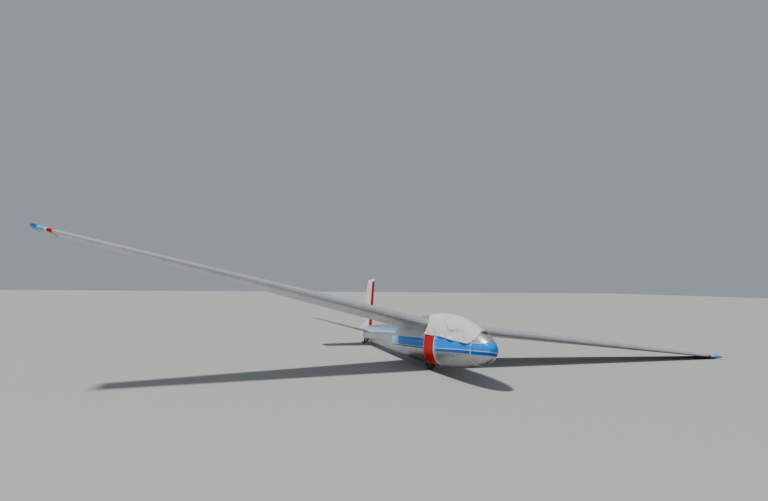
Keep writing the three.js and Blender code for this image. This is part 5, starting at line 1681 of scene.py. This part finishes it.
# Balloon tyre: r = 0.120 + 0.055 cos^0.77, y = 0.0675 sin^0.77, with four grooves round the tread.
def addWheel():
    turn = np.linspace(-2.55, 2.55, 121)
    radius = wheel["middle"] + wheel["swell"] * powered(np.cos(turn), wheel["power"])
    width = wheel["half"] * powered(np.sin(turn), wheel["power"])
    onTread = radius > tread["from"]
    for groove in tread["grooves"]:
        radius = radius - tread["depth"] * onTread * np.exp(-((width - groove) / tread["groove"]) ** 4)
    for line in tread["lines"]:
        width = width * (1 + 0.018 * np.exp(-((radius - line) / tread["line"]) ** 2))
    profile = np.stack((np.maximum(radius, wheel["rim"] + 0.0005), width), axis=1)
    addPiece("tyreRing", [lathePart(profile, wheelMiddle, (0, 1, 0), 128, True)], tyreRubber, "main_wheel",
             ("tyre",), sharp=50)
    profile = hubProfile + [(r, -y) for r, y in hubProfile[::-1]]
    parts = [lathePart(profile, wheelMiddle, (0, 1, 0), 96, True)]
    for k in range(8):
        angle = (k + 0.5) * np.pi / 4
        place = wheelMiddle + hubBolt["circle"] * np.array((math.cos(angle), 0, math.sin(angle)))
        for side in (1, -1):
            parts.append((*hexPart(place, (0, side, 0), hubBolt["radius"], *hubBolt["span"]), 1))
    valve = wheelMiddle + np.array((0.067, 0.030, 0))
    parts.append((*pipePart([valve, valve + (-0.006, 0.012, 0), valve + (-0.010, 0.022, 0)], 0.003, 10), 2))
    addPiece("wheelHub", parts, [hubMetal, brightSteel, darkTrim], "main_wheel", ("hub",), sharp=34)
    end = fork["inside"] + fork["plate"] + fork["axleEnd"]
    bar = [(0.012, -end), (wheel["axle"], -end + 0.003), (wheel["axle"], end - 0.003), (0.012, end)]
    parts = [lathePart(bar, wheelMiddle, (0, 1, 0), 48)]
    for side in (1, -1):
        nut = fork["inside"] + fork["plate"]
        washer = [(0.0155, nut), (0.024, nut), (0.024, nut + 0.0015), (0.0155, nut + 0.0015)]
        parts.append(lathePart(washer, wheelMiddle, (0, side, 0), 32, True))
        parts.append(hexPart(wheelMiddle, (0, side, 0), 0.0225, nut + 0.0015, nut + 0.0070))
    addPiece("axleBar", parts, brightSteel, nodes=("axle",), sharp=34)


# Two plates down the wheel's sides, rounded at the axle, under a bridge with bolts and edge ribs.
def addFork():
    aft, high, half = wheelCentre["aft"], fork["roof"], fork["width"] / 2
    angles, centre = np.linspace(-np.pi, 0, 25), wheelCentre["height"]
    arc = [(aft + half * math.cos(angle), centre + half * math.sin(angle)) for angle in angles]
    outline = [(aft - half, high)] + arc + [(aft + half, high)]
    ribShift, ribHalf, ribDepth = fork["rib"]
    ribTop, ribFoot = fork["ribSpan"]
    reach = fork["inside"] + fork["plate"]
    parts = []
    for side in (1, -1):
        low = side * fork["inside"] if side > 0 else side * fork["inside"] - fork["plate"]
        parts.append(platePart(outline, low, low + fork["plate"]))
        for shift in (-ribShift, ribShift):
            inner = side * (fork["inside"] + 0.0001)
            rib = [(aft + shift - ribHalf, high - ribTop), (aft + shift + ribHalf, high - ribTop),
                   (aft + shift + ribHalf, ribFoot), (aft + shift - ribHalf, ribFoot)]
            parts.append(platePart(rib, *sorted((inner, inner - side * ribDepth))))
            bolt = np.array((-aft - shift * 0.7, 0, high - fork["bridge"] / 2))
            parts.append((*hexPart(bolt, (0, side, 0), fork["bolt"], reach - 0.0005, reach + 0.0055), 1))
    reach -= 0.0002
    parts.append(boxPart((-aft - half, -reach, high - fork["bridge"]), (-aft + half, reach, high), bevel=0.002))
    addPiece("wheelFork", parts, [gearPaint, brightSteel], nodes=("wheel_fork",), sharp=30)


hubMetal = steelFinish("hubMetal", (0.42, 0.43, 0.44), 0.45, 0.8, 0.2)
addWheel()
addFork()
print("wheel made")


# Tail skid

skid = {"half": 0.032, "leaf": 0.0085, "buffer": 7.730, "bufferRadius": 0.026, "leaves": (9, 7, 5, 4)}
skidClamp = {
    "block": ((-7.520, -0.0318, -0.098), (-7.394, 0.0318, -0.060)), "boltRadius": 0.006,
    "bolts": ((-7.415, 0.022), (-7.415, -0.022), (-7.455, 0.022), (-7.455, -0.022)),
    "clips": (-7.60, -7.69), "clipHalf": np.array((0.011, 0.0338, 0.0175)),
}
shoePath = np.array((
    (7.392, -0.098), (7.50, -0.131), (7.60, -0.160), (7.70, -0.184), (7.75, -0.190), (7.80, -0.1908),
    (7.87, -0.1908), (7.893, -0.182), (7.917, -0.153),
))


# A flat bar that follows a path of (aft, height) in side view.
def leafPart(path, lift, half, thickness, count=60):
    distance = runLength(path)
    along = np.linspace(0, distance[-1], count)
    curve = np.stack([smoothThrough(distance, path[:, k] + 1e-9 * distance, along) for k in (0, 1)], axis=1)
    cut = thickness * 0.22
    corners = [(half - cut, 0), (half, cut), (half, thickness - cut), (half - cut, thickness)]
    corners += [(-y, n) for y, n in corners[::-1]]
    rings = []
    for place, out in zip(curve, lineNormals(curve)):
        rings.append([(-(place[0] + out[0] * (n + lift)), y, place[1] + out[1] * (n + lift)) for y, n in corners])
    return tubePart(rings)


def shoeHeight(aft):
    return float(np.interp(aft, shoePath[:, 0], shoePath[:, 1]))


# A stack of spring leaves clamped under the tail, with a worn shoe below and a rubber buffer above.
def addSkid():
    parts = []
    for step, last in enumerate(skid["leaves"]):
        width = skid["half"] - 0.0004 * step
        number = 1 if step == 0 else 0
        leaf = leafPart(shoePath[:last], step * skid["leaf"] - 0.0042, width, skid["leaf"] - 0.0006)
        parts.append((*leaf, number))
    parts.append(boxPart(*skidClamp["block"], bevel=0.002))
    for x, y in skidClamp["bolts"]:
        place, radius = (x, y, shoeHeight(-x) - 0.004), skidClamp["boltRadius"]
        parts.append((*hexPart(place, (0, 0, -1), radius, -0.001, 0.004), 1))
    for x in skidClamp["clips"]:
        middle = np.array((x, 0, shoeHeight(-x) + 0.012))
        parts.append(boxPart(middle - skidClamp["clipHalf"], middle + skidClamp["clipHalf"], bevel=0.0015))
    addPiece("skidLeaves", parts, [gearPaint, brightSteel], nodes=("tail_skid",), sharp=32)
    low = shoeHeight(skid["buffer"]) + 0.0305
    high = float(hullAt(np.array(skid["buffer"]))[2]) + 0.006
    share = np.linspace(0, 1, 61)
    radius = skid["bufferRadius"] * (0.86 + 0.14 * np.abs(np.sin(3 * np.pi * share)) ** 0.6)
    profile = np.stack((radius, low + share * (high - low)), axis=1)
    addPiece("skidBuffer", [lathePart(profile, (-skid["buffer"], 0, 0), (0, 0, 1), 40)], bufferRubber,
             nodes=("skid_buffer",), sharp=60)


addSkid()
print("tail skid made")


# Cockpit

seats = (
    {"name": "front", "pan": 1.050, "panel": 0.790, "stick": 0.950, "pedal": 0.640, "half": 0.190},
    {"name": "rear", "pan": 1.800, "panel": 1.626, "stick": 1.722, "pedal": 1.680, "half": 0.195},
)
seat = {
    "length": 0.330, "height": -0.262, "drop": 0.026, "rise": 0.400, "lean": 0.150, "lip": 0.014, "sheet": 0.003,
    "legs": 0.120, "apron": 0.050,
}
pad = {
    "thick": 0.036, "side": 0.020, "voxel": 0.007, "pressure": 4.0, "frames": 20, "cap": 0.008, "channel": 0.0055,
    "channelHalf": 0.006, "fill": 0.6,
}
dials = (
    (-0.108, 0.180, 0.036, 0.6), (0.0, 0.184, 0.036, 2.2), (0.108, 0.180, 0.036, 3.9), (-0.056, 0.098, 0.034, 5.0),
    (0.056, 0.098, 0.034, 1.4), (-0.138, 0.102, 0.022, 2.9), (0.138, 0.102, 0.022, 0.2),
)


def unparked(points):  # shared frame to airframe points
    return (np.asarray(points, float) - noseTip) @ parkedTurn


def tubHalf(aft, height):  # half the tub's inside width
    return float(hullHalfWidth(aft, height)) - hull["wall"] - 0.001


def tubFloor(aft, across):  # inner skin's height below a place
    angle = angleAtWidth(aft, abs(across))
    return float(hullPoint(aft, angle)[..., 2]) + hull["wall"] + 0.001


def roundedLine(places, radius=0.03, count=80):  # an open line of (aft, height) with its corners rounded
    places = np.array(places)
    distance = runLength(places)
    along = np.linspace(0, distance[-1], count)
    window = np.linspace(-radius, radius, 9)
    near = np.minimum(1, np.minimum(along, distance[-1] - along)[:, None] / radius)
    at = np.clip(along[:, None] + window * near, 0, distance[-1])
    return np.stack([np.interp(at, distance, places[:, k]).mean(axis=1) for k in (0, 1)], axis=1)


def seatLine(place):
    pan, back = place["pan"], place["pan"] + seat["length"]
    low = seat["height"] - seat["drop"]
    return [
        (pan, seat["height"] - seat["apron"]), (pan, seat["height"]), (back, low),
        (back + seat["lean"], low + seat["rise"]), (back + seat["lean"] + 0.020, low + seat["rise"] - 0.012),
    ]


# Pressed bucket: apron, pan and leaning back with turned-up edges, on two web plates and two back tubes.
def addSeat(place):
    line = roundedLine(seatLine(place), 0.022, 90)
    normal = lineNormals(line)
    share = np.linspace(-1, 1, 41)
    half = np.array([min(place["half"], tubHalf(aft, height)) for aft, height in line])
    lift = seat["lip"] * np.clip((np.abs(share) - 0.90) / 0.10, 0, 1) ** 2 - 0.004 * (1 - share ** 2)
    grid = np.stack((
        -(line[:, :1] + normal[:, :1] * lift), half[:, None] * share, line[:, 1:] + normal[:, 1:] * lift,
    ), axis=-1)
    name = place["name"]
    addPiece(f"{name}SeatPan", [sheetPart(grid)], gearPaint, nodes=(f"seat_{name}",),
             thickness=seat["sheet"], closed=False)
    parts = []
    pan, back = place["pan"] + 0.030, place["pan"] + seat["length"] - 0.025
    top = lambda aft: seat["height"] - seat["drop"] * (aft - place["pan"]) / seat["length"] - 0.009
    for side in (1, -1):
        legs = seat["legs"]
        outline = [(pan, top(pan)), (back, top(back)), (back, tubFloor(back, legs)), (pan, tubFloor(pan, legs))]
        parts.append(platePart(outline, side * legs - 0.0015, side * legs + 0.0015))
        end = seatLine(place)[3]
        foot = (-(end[0] + 0.02), side * 0.10, tubFloor(end[0] + 0.02, 0.10))
        tube = [(-end[0] - 0.010, side * 0.13, end[1] - 0.045), (-end[0] - 0.016, side * 0.12, 0.0), foot]
        parts.append(pipePart(tube, 0.009, 14))
    addPiece(f"{name}SeatFrame", parts, gearPaint, nodes=(f"seat_{name}",))


def padBlock(low, high, across, thick):  # a closed block of quads between two places, crowned a little
    ahead = (high - low) / np.linalg.norm(high - low)
    normal = np.array((-ahead[2], 0, ahead[0]))
    if normal[2] < 0:
        normal = -normal
    turn = np.linspace(0, 2 * np.pi, 65)[:-1]
    oval = powered(np.stack((np.cos(turn), np.sin(turn)), axis=1), 0.28)
    middle = (low + high) / 2
    rings = []
    for level, inset in ((0.0, 0.012), (0.12, 0.003), (0.5, 0.0), (0.88, 0.003), (1.0, 0.012)):
        forward = oval[:, :1] * (np.linalg.norm(high - low) / 2 - inset) * ahead
        sideways = oval[:, 1:] * (across - inset) * np.array((0, 1, 0))
        rings.append(middle + forward + sideways + normal * thick * level)
    return tubePart(rings), middle, ahead, normal


def evaluated(piece):
    bpy.context.view_layer.update()
    return bpy.data.meshes.new_from_object(piece.evaluated_get(bpy.context.evaluated_depsgraph_get()))


def meshPoints(mesh):
    points = np.empty(len(mesh.vertices) * 3)
    mesh.vertices.foreach_get("co", points)
    return points.reshape(-1, 3)


def swollen(piece):  # cloth under pressure: each point moves no further than the cap
    before = meshPoints(piece.data)
    cloth = piece.modifiers.new("swell", "CLOTH")
    settings = cloth.settings
    settings.quality = 4
    settings.mass = 0.3
    settings.tension_stiffness = 12
    settings.bending_stiffness = 0.6
    settings.use_pressure = True
    settings.uniform_pressure_force = pad["pressure"]
    settings.effector_weights.gravity = 0
    scene = bpy.context.scene
    for number in range(1, pad["frames"] + 1):
        scene.frame_set(number)
    after = meshPoints(evaluated(piece))
    piece.modifiers.remove(cloth)
    scene.frame_set(1)
    shift = after - before
    length = np.linalg.norm(shift, axis=1, keepdims=True)
    return before + shift * np.minimum(1, pad["cap"] / np.maximum(length, 1e-9))


def addPad(name, node, low, high, across, channels):
    part, middle, ahead, normal = padBlock(np.array(low), np.array(high), across, pad["thick"])
    piece = addPiece(name, [part], seatLeather, nodes=(node,))
    remesh = piece.modifiers.new("even", "REMESH")
    remesh.mode = "VOXEL"
    remesh.voxel_size = pad["voxel"]
    piece.data = evaluated(piece)
    piece.modifiers.clear()
    piece.data.vertices.foreach_set("co", swollen(piece).ravel())
    smooth = piece.modifiers.new("smooth", "SUBSURF")
    smooth.levels = smooth.render_levels = 1
    piece.data = evaluated(piece)
    piece.modifiers.clear()
    points = unparked(meshPoints(piece.data))
    along = (points - middle) @ ahead
    level = (points - middle) @ normal / pad["thick"]
    top = np.clip((level - 0.55) / 0.3, 0, 1)
    side = np.abs(points[:, 1]) / across
    depth = sum(np.exp(-((along - place) / pad["channelHalf"]) ** 2) for place in channels)
    points -= (pad["channel"] * depth * top * np.clip((1 - side) / 0.08, 0, 1))[:, None] * normal
    crown = 0.006 * top * (1 - side ** 2)
    points += crown[:, None] * normal
    piece.data.vertices.foreach_set("co", parked(points).ravel())
    piece.data.shade_smooth()
    piece.data.materials.clear()
    piece.data.materials.append(seatLeather)


# A seat pad and a back pad, swollen by pressure and sewn across in channels.
def addPads(place):
    name, pan = place["name"], place["pan"]
    back = pan + seat["length"]
    low = seat["height"] - seat["drop"]
    across = place["half"] - pad["side"]
    addPad(f"{name}SeatPad", f"cushion_{name}", (-pan - 0.018, 0, seat["height"] + 0.003),
           (-back + 0.040, 0, low + 0.006), across, (-0.09, -0.03, 0.03, 0.09))
    slope = seat["lean"] / seat["rise"]
    end, start = ((-back - slope * up + 0.004, 0, low + up) for up in (seat["rise"] - 0.036, 0.052))
    addPad(f"{name}BackPad", f"cushion_{name}", end, start, across, (-0.105, -0.035, 0.035, 0.105))


board = {
    "depth": 0.014, "foot": -0.040, "shoulder": 0.068, "step": [(0.178, 0.070), (0.170, 0.080)], "half": 0.170,
    "cornerHeight": 0.205, "corner": 0.030, "rim": 0.0045, "tick": (0.74, 0.92), "hand": (-0.2, 0.66),
    "switches": 6, "switchFrom": -0.10, "switchPitch": 0.04, "switchHeight": 0.030,
    "knobs": ((-0.19, 4), (0.19, 5)), "knobHeight": 0.010,
}
knobProfile = [(0.0035, 0), (0.0035, 0.016), (0.011, 0.018), (0.013, 0.024), (0.010, 0.030), (0.004, 0.032)]


# A board across the tub with a narrower upper part, round instruments, a row of switches and two knobs.
def addPanel(place):
    name, front = place["name"], place["panel"]
    rear = front + board["depth"]
    side = [(tubHalf(front, z) - 0.001, z) for z in np.linspace(board["foot"], board["shoulder"], 8)]
    turn, cut = np.linspace(0, np.pi / 2, 7), board["corner"]
    corner = [(board["half"] - cut + cut * math.cos(angle), board["cornerHeight"] + cut * math.sin(angle))
              for angle in turn]
    right = side + board["step"] + corner
    outline = right + [(-y, z) for y, z in right[::-1]]
    face = 0.985 * np.array(outline) + (0, 0.001)
    parts = [(*flatPart(np.array(outline), (-front, -(rear - 0.004)), 0), 0)]
    parts.append((*flatPart(face, (-(rear - 0.0042), -(rear - 0.0015)), 0), 1))
    front = -(rear - 0.0016)
    knob = lambda profile, centre, sides, number, closed=False: parts.append(
        (*lathePart(profile, centre, (-1, 0, 0), sides, closed), number))
    for y, z, radius, reading in dials:
        centre, out = np.array((front, y, z)), radius + board["rim"]
        bezel = [(radius, 0), (out, 0), (out, 0.0035), (radius + 0.001, 0.0050), (radius, 0.0030)]
        knob(bezel, centre, 40, 1, True)
        knob([(radius, 0.0002), (radius, 0.0010)], centre, 40, 2)
        for angle in np.arange(12) * np.pi / 6:
            way = np.array((0, math.sin(angle), math.cos(angle)))
            tick = [centre + (-0.0012, 0, 0) + way * (radius * share) for share in board["tick"]]
            parts.append((*pipePart(tick, 0.0009, 4), 3))
        way = np.array((0, math.sin(reading), math.cos(reading)))
        hand = [centre + (-0.0020, 0, 0) + way * (share * radius) for share in board["hand"]]
        parts.append((*pipePart(hand, np.array((0.0013, 0.0006)), 6), 3))
        knob([(0.0032, 0.001), (0.0032, 0.0032)], centre, 16, 1)
    for k in range(board["switches"]):
        y, z = board["switchFrom"] + board["switchPitch"] * k, board["switchHeight"]
        parts.append((*pipePart([(front, y, z), (front - 0.012, y, z + 0.004)], np.array((0.0028, 0.0018)), 8), 3))
        knob([(0.0050, 0), (0.0050, 0.0022)], (front, y, z), 6, 1)
    for y, tint in board["knobs"]:
        knob(knobProfile, (front, y, board["knobHeight"]), 24, tint)
    finishes = [darkTrim, panelFace, dialFace, dialMark, knobYellow, knobBlue]
    addPiece(f"{name}Panel", parts, finishes, nodes=(f"panel_{name}",), sharp=35)


stick = {"radius": 0.011, "gripFoot": -0.165, "gripLength": 0.115, "grip": 0.0155, "end": 0.007}
pedal = {
    "height": -0.270, "bar": 0.009, "places": (-0.095, 0.095), "half": 0.038, "drop": 0.020, "rise": 0.110,
    "ribs": 7, "ribFrom": -0.008, "ribPitch": 0.016, "ribHalf": (0.033, 0.003),
}


# A stick with a ribbed grip and a bellows boot, and two ribbed pedals on a cross bar.
def addControls(place):
    name, aft = place["name"], place["stick"]
    floor = tubFloor(aft, 0.0)
    column = [(stick["radius"], floor), (stick["radius"], stick["gripFoot"])]
    share = np.linspace(0, 1, 41)
    gripRadius = stick["grip"] - 0.0015 * share + 0.0012 * np.cos(10 * np.pi * share)
    grip = np.stack((gripRadius, stick["gripFoot"] + stick["gripLength"] * share), axis=1)
    grip[0, 0], grip[-1, 0] = stick["radius"], stick["end"]
    bootRise = floor + (max(-0.36, floor + 0.03) - floor) * share
    boot = np.stack((0.033 - 0.018 * share + 0.0022 * np.sin(8 * np.pi * share), bootRise), axis=1)
    parts = [(*lathePart(profile, (-aft, 0, 0), (0, 0, 1), sides), number)
             for profile, sides, number in ((column, 20, 1), (grip, 28, 0), (boot, 36, 2))]
    addPiece(f"{name}Stick", parts, [darkTrim, gearPaint, seatLeather], nodes=(f"stick_{name}",),
             sharp=50)
    aft, height, half = place["pedal"], pedal["height"], pedal["half"]
    reach = tubHalf(aft, height) - 0.001
    parts = [pipePart([(-aft, y, height) for y in (-reach, 0, reach)], pedal["bar"], 16)]
    wide, tall = pedal["ribHalf"]
    for across in pedal["places"]:
        low = (-aft - 0.005, across - half, height - pedal["drop"])
        parts.append(boxPart(low, (-aft + 0.001, across + half, height + pedal["rise"]), bevel=0.002))
        for k in range(pedal["ribs"]):
            z = height + pedal["ribFrom"] + pedal["ribPitch"] * k
            low, high = (-aft - 0.0085, across - wide, z - tall), (-aft - 0.0045, across + wide, z + tall)
            parts.append((*boxPart(low, high, bevel=0.001), 1))
    addPiece(f"{name}Pedals", parts, [gearPaint, bufferRubber], nodes=(f"pedals_{name}",),
             sharp=34)


panelFace = paintFinish("panelFace", (0.055, 0.058, 0.062), 0.6)
dialFace = paintFinish("dialFace", (0.012, 0.012, 0.013), 0.35)
dialMark = paintFinish("dialMark", (0.72, 0.72, 0.68), 0.5)
knobYellow = paintFinish("knobYellow", (0.75, 0.50, 0.02), 0.4)
knobBlue = paintFinish("knobBlue", (0.02, 0.12, 0.50), 0.4)
for place in seats:
    addSeat(place)
    addPads(place)
    addPanel(place)
    addControls(place)
print("cockpit made")


# Stage

def addLamp(name, kind, place, aim, **values):
    data = bpy.data.lights.new(name, kind)
    for key, value in values.items():
        setattr(data, key, value)
    direction = Vector(aim) - Vector(place)
    lamp = linked(name, data)
    lamp.matrix_world = Matrix.Translation(place) @ direction.to_track_quat("-Z", "Y").to_matrix().to_4x4()


def addStage():
    size = 90.0
    mesh = bpy.data.meshes.new("floor")
    mesh.from_pydata([(-size, -size, 0), (size, -size, 0), (size, size, 0), (-size, size, 0)], [], [(0, 1, 2, 3)])
    material, tree, shader = newMaterial("floorPaint")
    setShader(tree, shader, colour=(0.38, 0.38, 0.37), roughness=0.9, specular=0.2)
    mesh.materials.append(material)
    linked("floor", mesh)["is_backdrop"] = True
    world = bpy.data.worlds.new("studio")
    bpy.context.scene.world = world
    world.use_nodes = True
    background = world.node_tree.nodes["Background"]
    background.inputs["Color"].default_value = (0.78, 0.85, 0.96, 1)
    background.inputs["Strength"].default_value = 0.40
    addLamp("keySun", "SUN", (-0.8, -5.6, 14.3), (0, 0, 0), energy=3.8, angle=0.10, color=(1.0, 0.97, 0.93))
    addLamp("softFill", "AREA", (15.0, -9.0, 7.0), (0.0, -1.0, 0.8), energy=110, size=8.0, color=(0.93, 0.96, 1.0))


addStage()
{"cad": [list(corner) for corner in cadBox], "visual": [list(corner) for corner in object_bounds()]}
